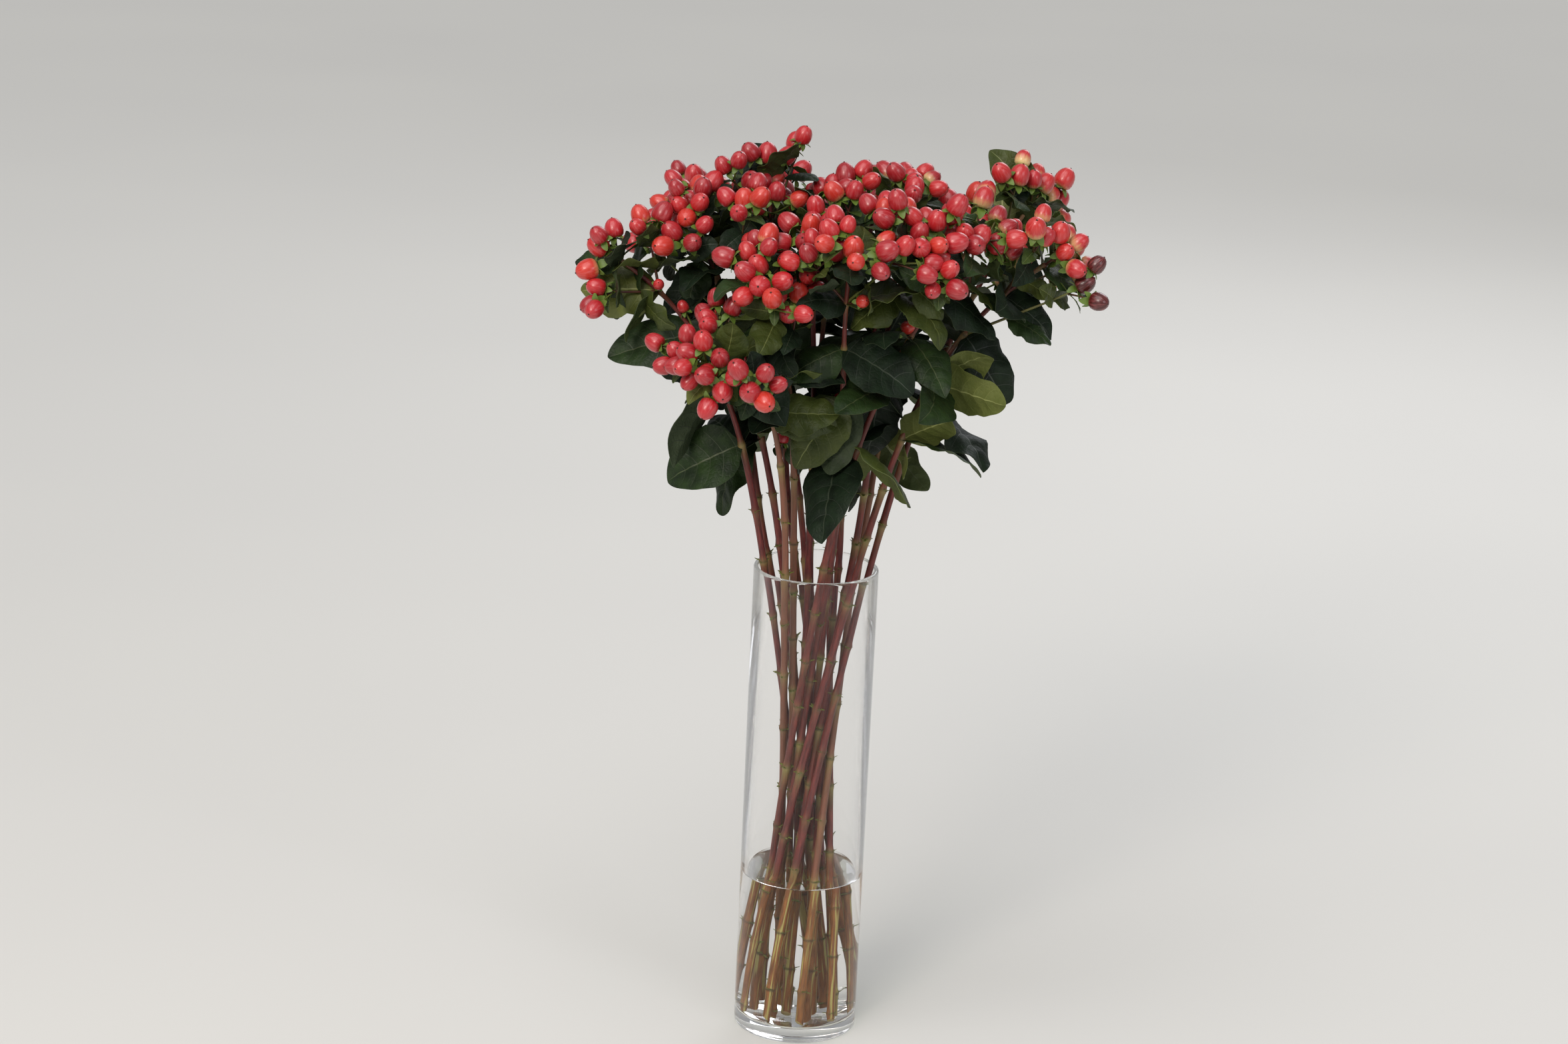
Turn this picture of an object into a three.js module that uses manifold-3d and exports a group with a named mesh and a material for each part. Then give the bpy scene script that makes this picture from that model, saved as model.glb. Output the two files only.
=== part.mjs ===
// A bunch of cut St John's wort stems with ripe berries, standing in a tall glass cylinder vase
// part filled with water. Millimetres, +Z up, the front faces -Y. The origin is the centre of the
// vase's flat underside.

import * as THREE from "three";
import { mergeVertices } from "three/addons/utils/BufferGeometryUtils.js";
import Module from "manifold-3d";

const wasm = await Module();
wasm.setup();

const { clamp, degToRad, lerp } = THREE.MathUtils;
const UP = new THREE.Vector3(0, 0, 1);
const SIDEWAYS = new THREE.Vector3(1, 0, 0);

// Vase: a plain 10 by 40 cm cylinder with a thick base and a fire-polished rim
const VASE_RADIUS = 51;
const VASE_HEIGHT = 400;
const VASE_WALL = 4;
const VASE_FLOOR = 12;
const VASE_FOOT_ROUND = 4;
const VASE_FLOOR_ROUND = 6;
const VASE_SIDES = 36;

// Water, up to a third of the vase
const WATER_LEVEL = 135;

// Gap left between neighbours that touch on the real thing
const CLEARANCE = 0.3;

// How far a spare corner may stand off a flat face and still be dropped
const FLATNESS = 0.01;

// Stems: thick at the cut foot, thin where the berries branch off. The bare stem hands over to the
// stem inside the foliage at one height
const STEM_SIDES = 6;
const AXIS_SIDES = 4;
const FOOT_RADIUS = 2.9;
const HANDOVER_RADIUS = 2.45;
const CROWN_NODE_RADIUS = 1.55;
const HANDOVER_HEIGHT = 455;
const LOW_STEPS = 3;
const HIGH_STEPS = 1;
const AXIS_STEPS = 5;

// The bunch twists as it rises: its outer stems stand wide at the foot, pass a narrow waist and
// lean on the rim. Inside them stand two more rings
const FOOT_SPREAD = 38;
const RIM_SPREAD = 43.6;
const BUNCH_TWIST = degToRad(120);
const WAIST_POWER = 1.3;
const RIM_LEAD = degToRad(12);
const RINGS = [
  { count: 9, share: 1 },
  { count: 6, share: 0.655 },
  { count: 3, share: 0.27 },
];

// Above the rim each stem bends out to its head, with these shares of the way as its handles
const RIM_HANDLE = 0.42;
const HEAD_HANDLE = 0.36;

// The holes for the stems in the water start below it by this share of their first step
const HOLE_OVERRUN = 0.02;

// Heads, each on its own stem. Azimuth is in degrees from +X, with 270 at the front. Reach and
// height are those of the middle of the berries, lean is the tip's angle from upright, turn is the
// angle of the first leaf pair, levels is how often the end cyme forks, and side lists how often
// the side branches of the pairs below it fork
const HEADS = [
  { azimuth: 187, reach: 190, height: 664, lean: 58, turn: 20, levels: 1, side: [1] },
  { azimuth: 171, reach: 118, height: 700, lean: 20, turn: 65, levels: 2, side: [1, 1] },
  { azimuth: 143, reach: 96, height: 702, lean: 14, turn: 10, levels: 2, side: [1] },
  { azimuth: 133, reach: 82, height: 734, lean: 6, turn: 80, levels: 1, side: [0] },
  { azimuth: 241, reach: 118, height: 672, lean: 36, turn: 40, levels: 2, side: [0] },
  { azimuth: 254, reach: 64, height: 692, lean: 16, turn: 5, levels: 2, side: [1] },
  { azimuth: 237, reach: 172, height: 592, lean: 86, turn: 55, levels: 2, side: [1, 1] },
  { azimuth: 92, reach: 46, height: 712, lean: 5, turn: 30, levels: 1, side: [0] },
  { azimuth: 278, reach: 122, height: 696, lean: 32, turn: 75, levels: 2, side: [1] },
  { azimuth: 40, reach: 80, height: 718, lean: 12, turn: 50, levels: 2, side: [1, 1] },
  { azimuth: 308, reach: 112, height: 704, lean: 26, turn: 15, levels: 2, side: [1] },
  { azimuth: 335, reach: 132, height: 698, lean: 34, turn: 60, levels: 2, side: [1] },
  { azimuth: 21, reach: 184, height: 716, lean: 34, turn: 35, levels: 1, side: [1] },
  { azimuth: 356, reach: 190, height: 676, lean: 54, turn: 70, levels: 2, side: [1, 0] },
  { azimuth: 142, reach: 162, height: 680, lean: 42, turn: 25, levels: 2, side: [1] },
  { azimuth: 110, reach: 150, height: 684, lean: 36, turn: 0, levels: 2, side: [1] },
  { azimuth: 76, reach: 152, height: 684, lean: 36, turn: 45, levels: 2, side: [1] },
  { azimuth: 46, reach: 160, height: 680, lean: 40, turn: 85, levels: 2, side: [1] },
];

// From the crown node, where the end cyme starts, to the middle of its berries
const CYME_RISE = 24;

// Berries and the stalks that carry them
const BERRY_LENGTH = 16;
const BERRY_WIDTH = 13.8;
const BERRY_SIDES = 5;
const BERRY_SEAT = 1.6;
const BERRY_SIZE = 0.98;
const BERRY_SIZE_SPREAD = 0.1;
const STALK_SIDES = 3;
const STALK_TIP_RADIUS = 1.15;
const SHOOT_ROOT_RADIUS = 0.55;
const BRANCH_ROOT_RADIUS = 1.2;

// A cyme: the stalk of its middle berry runs on, and a pair of shoots forks off to either side
const FORK_SINK = 1.2;
const PEDICEL_LENGTH = 11;
const PEDICEL_SPREAD = 3;
const FORK_LENGTH = 14;
const FORK_LENGTH_SPREAD = 3;
const LAST_FORK_LENGTH = 6;
const FORK_ANGLE = 43;
const FORK_ANGLE_SPREAD = 8;
const FORK_SWAY = 0.16;

// A pair of side branches rises from a leaf pair's node to about the height of the end cyme
const BRANCH_ANGLE = 34;
const BRANCH_ANGLE_SPREAD = 6;
const BRANCH_TURN_SPREAD = 12;
const BRANCH_GAIN = 4;
const BRANCH_LENGTH_SPREAD = 6;
const BRANCH_UPTURN = 0.35;

// A shoot that would touch a neighbour is opened and lengthened by these steps, in degrees and
// millimetres, before it is left out
const SHOOT_TRIES = [
  { open: 0, gain: 0 },
  { open: 6, gain: 3 },
  { open: -6, gain: 4 },
  { open: 12, gain: 6 },
  { open: -10, gain: 9 },
  { open: 16, gain: -3 },
];

// Leaf pairs, from the crown node down: the way down the stem, length, rise above square to the
// stem, sag to the ground and arch along the leaf
const LEAF_PAIRS = [
  { below: 4, length: 44, rise: 34, sag: 0, arch: 24 },
  { below: 42, length: 56, rise: 24, sag: 0.15, arch: 34 },
  { below: 86, length: 68, rise: 10, sag: 0.3, arch: 38 },
  { below: 134, length: 75, rise: 6, sag: 0.35, arch: 38 },
  { below: 184, length: 78, rise: 10, sag: 0.2, arch: 34 },
];
const LOWEST_LEAF_NODE = 500;

// How far a leaf may differ from its pair's values, in degrees and in shares of them
const LEAF_TURN_SPREAD = 22;
const LEAF_RISE_SPREAD = 18;
const LEAF_ROLL_SPREAD = 32;
const LEAF_ARCH_SPREAD = 18;
const LEAF_LENGTH_SPREAD = 0.1;
const LEAF_SAG_SPREAD = 0.7;

// The leaf itself, in shares of its length. Fold is how steeply its margins rise from the midrib
const LEAF_ROWS = 3;
const LEAF_WIDTH_SHARE = 0.66;
const LEAF_THICKNESS_SHARE = 0.014;
const LEAF_ROOT_SHARE = 0.2;
const LEAF_FOLD = 0.22;
const LEAF_WIDEST_POWER = 0.72;

// The leaves that show best from the front lie as they do there: the leaf's azimuth, its rise
// above level, its roll from lying face up, and its length
const SHOWN_LEAVES = [
  { head: 1, level: 4, hand: 0, azimuth: 192, rise: -22, roll: -62, length: 72 },
  { head: 1, level: 1, hand: 0, azimuth: 189, rise: 10, roll: -50, length: 66 },
  { head: 1, level: 2, hand: 0, azimuth: 192, rise: -10, roll: -45, length: 72 },
  { head: 2, level: 1, hand: 0, azimuth: 200, rise: -35, roll: -40, length: 54 },
  { head: 5, level: 3, hand: 0, azimuth: 250, rise: -64, roll: 0, length: 68 },
  { head: 7, level: 2, hand: 0, azimuth: 350, rise: 0, roll: 55, length: 56 },
  { head: 9, level: 2, hand: 0, azimuth: 200, rise: -20, roll: -40, length: 54 },
  { head: 9, level: 2, hand: 1, azimuth: 340, rise: -20, roll: 40, length: 66 },
  { head: 9, level: 3, hand: 0, azimuth: 200, rise: -50, roll: -50, length: 72 },
  { head: 9, level: 3, hand: 1, azimuth: 315, rise: -70, roll: 50, length: 62 },
  { head: 10, level: 4, hand: 0, azimuth: 0, rise: -84, roll: 0, length: 74 },
  { head: 11, level: 1, hand: 0, azimuth: 215, rise: -18, roll: -30, length: 48 },
  { head: 11, level: 3, hand: 0, azimuth: 300, rise: -66, roll: 0, length: 74 },
  { head: 13, level: 0, hand: 0, azimuth: 190, rise: 58, roll: -80, length: 58 },
  { head: 13, level: 1, hand: 0, azimuth: 340, rise: -56, roll: 55, length: 64 },
  { head: 14, level: 2, hand: 0, azimuth: 335, rise: -44, roll: 45, length: 70 },
  { head: 14, level: 3, hand: 0, azimuth: 348, rise: 24, roll: -62, length: 70 },
  { head: 14, level: 4, hand: 0, azimuth: 335, rise: 34, roll: -66, length: 58 },
  { head: 18, level: 4, hand: 0, azimuth: 0, rise: -36, roll: -60, length: 58 },
];
const SHOWN_ARCH = 26;
const SHOWN_ARCH_SPREAD = 12;

// A leaf that would touch a neighbour is turned and lifted by these steps, in degrees, and made
// smaller by this share, before it is left out
const LEAF_TRIES = [
  { turn: 0, lift: 0, size: 1 },
  { turn: 18, lift: 8, size: 1 },
  { turn: -18, lift: 8, size: 1 },
  { turn: 8, lift: 26, size: 1 },
  { turn: -8, lift: -24, size: 1 },
  { turn: 30, lift: -12, size: 1 },
  { turn: -30, lift: 18, size: 1 },
  { turn: 0, lift: 12, size: 0.8 },
  { turn: 28, lift: 34, size: 0.86 },
  { turn: -28, lift: -30, size: 0.86 },
  { turn: 45, lift: 6, size: 0.8 },
  { turn: -45, lift: 20, size: 0.8 },
];

// Finishes
const GLASS = { color: 0xdfe9e6, roughness: 0.05, metalness: 0, transparent: true, opacity: 0.3 };
const WATER = { color: 0xe6ece4, roughness: 0.05, metalness: 0, transparent: true, opacity: 0.4 };
const BARK = { color: 0x7c3b36, roughness: 0.6, metalness: 0 };
const FOLIAGE = { color: 0x2c4a32, roughness: 0.7, metalness: 0 };

// Seeded chance

const SEED = 7;

// A share from 0 to 1 that is always the same for the same head, place and use
function chance(head, place, use) {
  let state = SEED ^ Math.imul(head + 1, 374761393);
  state ^= Math.imul(place + 1, 668265263);
  state ^= Math.imul(use + 1, 974634777);
  state = Math.imul(state ^ (state >>> 15), 739982445);
  state = Math.imul(state ^ (state >>> 12), 695872825);
  return ((state ^ (state >>> 15)) >>> 0) / 4294967296;
}

// A chance value spread evenly to either side of a middle value
function around(middle, spread, head, place, use) {
  return middle + spread * (2 * chance(head, place, use) - 1);
}

// The places of a head, each with a number of its own: the middle berry, the end cyme, the leaves,
// the side branches and the shoots of any fork
const MIDDLE_PLACE = 0;
const CYME_PLACE = 1;
const LEAF_PLACE = 300;
const BRANCH_PLACE = 900;
const BRANCH_PLACE_STEP = 20;
const SHOOT_PLACE_STEP = 4;

function leafPlace(level, hand) {
  return LEAF_PLACE + 2 * level + hand;
}

function branchPlace(level, hand) {
  return BRANCH_PLACE + BRANCH_PLACE_STEP * level + (hand > 0 ? 1 : 2);
}

function shootPlace(fork, hand) {
  return SHOOT_PLACE_STEP * fork + (hand > 0 ? 1 : 2);
}

// Directions

// A vector of a length at an angle round the upright axis, and a height
function polar(length, angle, height) {
  return new THREE.Vector3(length * Math.cos(angle), length * Math.sin(angle), height);
}

// The point a way from another along a direction
function ahead(point, direction, way) {
  return point.clone().addScaledVector(direction, way);
}

// Two unit vectors square to a direction: the first lies as near as it can to a guide
function squareTo(direction, guide) {
  const first = ahead(guide, direction, -guide.dot(direction)).normalize();
  const second = new THREE.Vector3().crossVectors(direction, first);
  return [first, second];
}

// A guide that doesn't lie along a direction
function guideFor(direction) {
  return Math.abs(direction.z) < 0.9 ? UP : SIDEWAYS;
}

// Joining and cutting

// A closed geometry as a solid, with its shared corners merged and its flat triangles dropped
function solidOf(geometry) {
  const bare = geometry.clone();
  bare.deleteAttribute("normal");
  bare.deleteAttribute("uv");
  const merged = mergeVertices(bare, 1e-4);
  const corners = merged.index.array;
  const kept = [];
  for (let i = 0; i < corners.length; i += 3) {
    const triangle = [corners[i], corners[i + 1], corners[i + 2]];
    if (new Set(triangle).size === 3) kept.push(...triangle);
  }
  return new wasm.Manifold(
    new wasm.Mesh({
      numProp: 3,
      vertProperties: merged.attributes.position.array,
      triVerts: Uint32Array.from(kept),
    }),
  );
}

// A solid as a flat-shaded geometry
function geometryOf(solid) {
  const mesh = solid.getMesh();
  const geometry = new THREE.BufferGeometry();
  geometry.setAttribute("position", new THREE.BufferAttribute(mesh.vertProperties, 3));
  geometry.setIndex(new THREE.BufferAttribute(mesh.triVerts, 1));
  geometry.computeVertexNormals();
  return geometry;
}

// The largest connected piece of a solid, without loose scraps or sealed hollows, and without the
// spare corners that joining leaves on flat faces
function largestPiece(solid) {
  const pieces = solid.decompose();
  pieces.sort((a, b) => b.volume() - a.volume());
  return pieces[0].asOriginal().simplify(FLATNESS);
}

// Limbs, stalks, berries and leaves

// A tapering limb along a row of points: a cylinder bent along them, with both ends cut square
function limb({ points, tangents }, startRadius, endRadius, sides, guide) {
  const steps = points.length - 1;
  const geometry = new THREE.CylinderGeometry(1, 1, 1, sides, steps);
  const position = geometry.attributes.position;
  for (let i = 0; i < position.count; i++) {
    const share = position.getY(i) + 0.5;
    const step = Math.round(share * steps);
    const radius = lerp(startRadius, endRadius, share);
    const [first, second] = squareTo(tangents[step], guide);
    const corner = ahead(points[step], second, position.getX(i) * radius);
    corner.addScaledVector(first, position.getZ(i) * radius);
    position.setXYZ(i, corner.x, corner.y, corner.z);
  }
  return geometry;
}

// A stalk through two points, or through three with a bend
function stalk(points, startRadius, endRadius) {
  const ways = points.slice(1).map((point, i) => point.clone().sub(points[i]).normalize());
  const tangents = points.map((point, i) => {
    const before = ways[Math.max(i - 1, 0)];
    const after = ways[Math.min(i, ways.length - 1)];
    return before.clone().add(after).normalize();
  });
  const guide = guideFor(tangents[0]);
  return limb({ points, tangents }, startRadius, endRadius, STALK_SIDES, guide);
}

// A berry: flat where it sits on its stalk, widest at half its length and pointed at its tip
function berry(base, direction, size) {
  const length = BERRY_LENGTH * size;
  const radius = (BERRY_WIDTH * size) / 2;
  const profile = [
    new THREE.Vector2(0, 0),
    new THREE.Vector2(radius * 0.6, 0),
    new THREE.Vector2(radius * 1.04, length * 0.5),
    new THREE.Vector2(0, length),
  ];
  const [first, second] = squareTo(direction, guideFor(direction));
  const turned = new THREE.Matrix4().makeBasis(second, direction, first).setPosition(base);
  return new THREE.LatheGeometry(profile, BERRY_SIDES).applyMatrix4(turned);
}

// Half the width of a leaf at a share of its length, as a share of its greatest half width
function leafOutline(share) {
  return Math.sin(Math.PI * share ** LEAF_WIDEST_POWER);
}

// A leaf: a ball drawn out to a thin lens with a knife edge, folded along its midrib and arched
// along its length
function leaf({ root, along, face, length, arch }) {
  const side = new THREE.Vector3().crossVectors(along, face);
  const halfWidth = (length * LEAF_WIDTH_SHARE) / 2;
  const halfThickness = (length * LEAF_THICKNESS_SHARE) / 2;
  const geometry = new THREE.SphereGeometry(1, 4, LEAF_ROWS);
  const position = geometry.attributes.position;
  for (let i = 0; i < position.count; i++) {
    const share = 1 - Math.acos(clamp(position.getY(i), -1, 1)) / Math.PI;
    const ring = Math.hypot(position.getX(i), position.getZ(i));
    const isTip = ring < 1e-6;
    const width = isTip ? 0 : leafOutline(share) / ring;
    const across = position.getX(i) * width * halfWidth;
    const raised = Math.abs(across) * LEAF_FOLD + position.getZ(i) * width * halfThickness;
    const bend = arch * share;
    const forward = (length * Math.sin(bend)) / arch;
    const drop = (length * (1 - Math.cos(bend))) / arch;
    const corner = ahead(root, along, forward + raised * Math.sin(bend));
    corner.addScaledVector(face, raised * Math.cos(bend) - drop);
    corner.addScaledVector(side, across);
    position.setXYZ(i, corner.x, corner.y, corner.z);
  }
  return geometry;
}

// Stem lines

// The part of a stem in the vase, from its cut foot through the waist of the bunch to the rim
class BunchLine extends THREE.Curve {
  constructor(ringShare, rimAngle) {
    super();
    this.foot = polar(ringShare * FOOT_SPREAD, rimAngle - BUNCH_TWIST, VASE_FLOOR + CLEARANCE);
    this.rim = polar(ringShare * RIM_SPREAD, rimAngle, VASE_HEIGHT);
  }

  getPoint(share, target = new THREE.Vector3()) {
    target.lerpVectors(this.foot, this.rim, share ** WAIST_POWER);
    target.z = lerp(this.foot.z, this.rim.z, share);
    return target;
  }
}

// The crown node of a head and the direction in which its tip points
function crownNode(head) {
  const azimuth = degToRad(head.azimuth);
  const lean = degToRad(head.lean);
  const tip = polar(Math.sin(lean), azimuth, Math.cos(lean));
  const middle = polar(head.reach, azimuth, head.height);
  return { point: ahead(middle, tip, -CYME_RISE), tip };
}

// The two curves of a stem: the one in the vase and the one from the rim to the crown node
function stemLine(head, ringShare, rimAngle) {
  const low = new BunchLine(ringShare, rimAngle);
  const start = low.getPoint(1);
  const { point, tip } = crownNode(head);
  const way = start.distanceTo(point);
  const rimHandle = ahead(start, low.getTangent(1), way * RIM_HANDLE);
  const headHandle = ahead(point, tip, -way * HEAD_HANDLE);
  const high = new THREE.CubicBezierCurve3(start, rimHandle, headHandle, point);
  return { low, high, guide: polar(1, degToRad(head.azimuth) + Math.PI / 2, 0) };
}

// Deals the heads to the rings of the bunch, the far reaching ones to the outer ring, in the order
// of their azimuths, and turns each ring so that its stems start below their heads
function dealStems() {
  const byReach = [...HEADS.keys()];
  byReach.sort((a, b) => HEADS[b].reach - HEADS[a].reach);
  const lines = [];
  let dealt = 0;
  for (const ring of RINGS) {
    const members = byReach.slice(dealt, dealt + ring.count);
    dealt += ring.count;
    members.sort((a, b) => HEADS[a].azimuth - HEADS[b].azimuth);
    const step = (2 * Math.PI) / ring.count;
    const offsets = members.map((index, order) => degToRad(HEADS[index].azimuth) - order * step);
    const offset = offsets.reduce((sum, value) => sum + value, 0) / ring.count - RIM_LEAD;
    members.forEach((index, order) => {
      lines[index] = stemLine(HEADS[index], ring.share, offset + order * step);
    });
  }
  return lines;
}

// The share of a rising curve's length at which it passes a height
function shareAtHeight(curve, height) {
  let below = 0;
  let above = 1;
  for (let halving = 0; halving < 40; halving++) {
    const middle = (below + above) / 2;
    if (curve.getPointAt(middle).z < height) below = middle;
    else above = middle;
  }
  return below;
}

// Even steps along part of a curve, as points and tangents
function stretch(curve, from, to, steps) {
  const points = [];
  const tangents = [];
  for (let i = 0; i <= steps; i++) {
    const share = lerp(from, to, i / steps);
    points.push(curve.getPointAt(share));
    tangents.push(curve.getTangentAt(share));
  }
  return { points, tangents };
}

// The steps of a stem inside the vase, with its foot cut level
function lowSteps(line) {
  const steps = stretch(line.low, 0, 1, LOW_STEPS);
  steps.tangents[0] = UP;
  return steps;
}

// The steps of a bare stem, from its foot up to just below the foliage
function bareSteps(line, handover) {
  const low = lowSteps(line);
  const end = handover - CLEARANCE / line.high.getLength();
  const high = stretch(line.high, 0, end, HIGH_STEPS);
  return {
    points: [...low.points, ...high.points.slice(1)],
    tangents: [...low.tangents, ...high.tangents.slice(1)],
  };
}

// A node of the stem, a way below the crown node
function stemNode(line, below) {
  const share = 1 - below / line.high.getLength();
  const point = line.high.getPointAt(share);
  const tangent = line.high.getTangentAt(share);
  return { point, tangent, guide: line.guide };
}

// The direction square to a node's stem at an angle round it
function roundNode({ tangent, guide }, angle) {
  const [first, second] = squareTo(tangent, guide);
  return first.multiplyScalar(Math.cos(angle)).addScaledVector(second, Math.sin(angle));
}

// The angle of a leaf pair round its stem: each pair stands square to the one above it
function pairAngle(head, level) {
  return degToRad(head.turn + 90 * level);
}

// Claimed space: every limb, berry and leaf grown so far, with the head that owns it. A mass keeps
// to what it has claimed, and what would come near another's claim is left out

const claimed = [];

function claim(solid, owner, kind) {
  claimed.push({ solid, owner, kind, box: solid.boundingBox() });
}

function boxesMeet(a, b) {
  return [0, 1, 2].every((axis) => {
    return a.min[axis] <= b.max[axis] + CLEARANCE && b.min[axis] <= a.max[axis] + CLEARANCE;
  });
}

// Whether a solid comes within the clearance of any claimed one that a test picks
function touches(solid, picks) {
  const box = solid.boundingBox();
  return claimed.some((other) => {
    if (!picks(other) || !boxesMeet(box, other.box)) return false;
    return solid.minGap(other.solid, 2 * CLEARANCE) <= CLEARANCE;
  });
}

// Growing the berries

// Grows a stalk with a berry at its tip, and says whether there was room for them
function growStalk(owner, points, direction, rootRadius, place) {
  const base = points[points.length - 1];
  const seat = ahead(base, direction, BERRY_SEAT);
  const size = around(BERRY_SIZE, BERRY_SIZE_SPREAD, owner, place, 5);
  const fruit = solidOf(berry(base, direction, size));
  const carrier = solidOf(stalk([...points.slice(0, -1), seat], rootRadius, STALK_TIP_RADIUS));
  const inTheWay = (other) => other.owner !== owner || other.kind === "berry";
  if (touches(fruit, inTheWay) || touches(carrier, inTheWay)) return false;
  claim(fruit, owner, "berry");
  claim(carrier, owner, "stalk");
  return true;
}

function pedicelLength(owner, place) {
  return around(PEDICEL_LENGTH, PEDICEL_SPREAD, owner, place, 4);
}

// Grows the pair of shoots at a fork of a cyme, to either side of the stalk that runs on
function growFork(owner, fork, direction, side, levels, place) {
  if (levels === 0) return;
  for (const hand of [1, -1]) {
    const next = shootPlace(place, hand);
    SHOOT_TRIES.some((change) => growShoot(owner, fork, direction, side, levels, hand, next, change));
  }
}

// Grows one shoot of a fork, with the smaller fork that it carries a quarter turn round it, and
// says whether there was room for it
function growShoot(owner, fork, direction, side, levels, hand, place, change) {
  const [across, other] = squareTo(direction, side);
  const spread = degToRad(around(FORK_ANGLE, FORK_ANGLE_SPREAD, owner, place, 1) + change.open);
  const out = direction.clone().multiplyScalar(Math.cos(spread));
  out.addScaledVector(across, hand * Math.sin(spread));
  out.addScaledVector(other, around(0, FORK_SWAY, owner, place, 2)).normalize();
  const forkLength = around(FORK_LENGTH, FORK_LENGTH_SPREAD, owner, place, 3);
  const way = levels > 1 ? forkLength : LAST_FORK_LENGTH;
  const end = ahead(fork, out, way + pedicelLength(owner, place) + change.gain);
  if (!growStalk(owner, [fork, end], out, SHOOT_ROOT_RADIUS, place)) return false;
  growFork(owner, ahead(fork, out, way), out, other, levels - 1, place);
  return true;
}

// Grows the cyme at a stem's crown node
function growEndCyme(owner, head, line) {
  const { point, tip } = crownNode(head);
  const side = roundNode({ tangent: tip, guide: line.guide }, pairAngle(head, 1));
  const fork = ahead(point, tip, -FORK_SINK);
  const end = ahead(point, tip, pedicelLength(owner, MIDDLE_PLACE));
  growStalk(owner, [fork, end], tip, SHOOT_ROOT_RADIUS, MIDDLE_PLACE);
  growFork(owner, fork, tip, side, head.levels, CYME_PLACE);
}

// Grows the pairs of side branches of a head, from the second leaf pair down
function growBranches(owner, head, line) {
  head.side.forEach((levels, order) => {
    const level = order + 1;
    for (const hand of [1, -1]) {
      SHOOT_TRIES.some((change) => growBranch(owner, head, line, level, levels, hand, change));
    }
  });
}

// Grows one side branch with a small cyme, and says whether there was room for it
function growBranch(owner, head, line, level, levels, hand, change) {
  const place = branchPlace(level, hand);
  const below = LEAF_PAIRS[level].below;
  const node = stemNode(line, below);
  const turn = degToRad(around(0, BRANCH_TURN_SPREAD, owner, place, 1));
  const flat = roundNode(node, pairAngle(head, level) + turn).multiplyScalar(hand);
  const open = degToRad(around(BRANCH_ANGLE, BRANCH_ANGLE_SPREAD, owner, place, 2) + change.open);
  const out = node.tangent.clone().multiplyScalar(Math.cos(open));
  out.addScaledVector(flat, Math.sin(open));
  const length = around(below + BRANCH_GAIN, BRANCH_LENGTH_SPREAD, owner, place, 3) + change.gain;
  const fork = ahead(node.point, out, length);
  const tip = out.clone().lerp(node.tangent, BRANCH_UPTURN).normalize();
  const end = ahead(fork, tip, pedicelLength(owner, place));
  if (!growStalk(owner, [node.point, fork, end], tip, BRANCH_ROOT_RADIUS, place)) return false;
  growFork(owner, fork, tip, flat, levels, place);
  return true;
}

// Growing the leaves

// The pose of one leaf of a pair at a node, with the change that a try makes to it
function pairPose(owner, node, pair, angle, place, change) {
  const turn = degToRad(around(0, LEAF_TURN_SPREAD, owner, place, 1) + change.turn);
  const rise = degToRad(around(pair.rise, LEAF_RISE_SPREAD, owner, place, 2) + change.lift);
  const along = roundNode(node, angle + turn).multiplyScalar(Math.cos(rise));
  along.addScaledVector(node.tangent, Math.sin(rise));
  along.z -= around(pair.sag, pair.sag * LEAF_SAG_SPREAD, owner, place, 6);
  along.normalize();
  const [face] = squareTo(along, node.tangent);
  face.applyAxisAngle(along, degToRad(around(0, LEAF_ROLL_SPREAD, owner, place, 3)));
  const length = around(pair.length, pair.length * LEAF_LENGTH_SPREAD, owner, place, 4);
  const arch = degToRad(around(pair.arch, LEAF_ARCH_SPREAD, owner, place, 5));
  return { root: node.point, along, face, length: length * change.size, arch };
}

// The pose of a leaf that shows from the front, with the change that a try makes to it
function shownPose(owner, node, shown, place, change) {
  const rise = degToRad(shown.rise + change.lift);
  const along = polar(Math.cos(rise), degToRad(shown.azimuth + change.turn), Math.sin(rise));
  const [face] = squareTo(along, UP);
  face.applyAxisAngle(along, degToRad(shown.roll));
  const arch = degToRad(around(SHOWN_ARCH, SHOWN_ARCH_SPREAD, owner, place, 5));
  return { root: node.point, along, face, length: shown.length * change.size, arch };
}

// Grows one leaf in the first of its tries that touches nothing. Its root may touch its own head
function growLeaf(owner, poseOf) {
  for (const change of LEAF_TRIES) {
    const pose = poseOf(change);
    const whole = solidOf(leaf(pose));
    const cut = pose.root.dot(pose.along) + pose.length * LEAF_ROOT_SHARE;
    const blade = whole.trimByPlane(pose.along.toArray(), cut);
    if (touches(blade, (other) => other.owner === owner)) continue;
    if (touches(whole, (other) => other.owner !== owner)) continue;
    claim(whole, owner, "leaf");
    return;
  }
}

// Grows the leaves that show from the front
function growShownLeaves(lines) {
  for (const shown of SHOWN_LEAVES) {
    const owner = shown.head - 1;
    const node = stemNode(lines[owner], LEAF_PAIRS[shown.level].below);
    const place = leafPlace(shown.level, shown.hand);
    growLeaf(owner, (change) => shownPose(owner, node, shown, place, change));
  }
}

function isShown(owner, level, hand) {
  return SHOWN_LEAVES.some((shown) => {
    return shown.head - 1 === owner && shown.level === level && shown.hand === hand;
  });
}

// Grows the other leaves of a head, from the crown node down to where the stems are bare
function growLeaves(owner, head, line) {
  LEAF_PAIRS.forEach((pair, level) => {
    const node = stemNode(line, pair.below);
    if (node.point.z < LOWEST_LEAF_NODE) return;
    for (const hand of [0, 1]) {
      if (isShown(owner, level, hand)) continue;
      const angle = pairAngle(head, level) + hand * Math.PI;
      const place = leafPlace(level, hand);
      growLeaf(owner, (change) => pairPose(owner, node, pair, angle, place, change));
    }
  });
}

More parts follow.
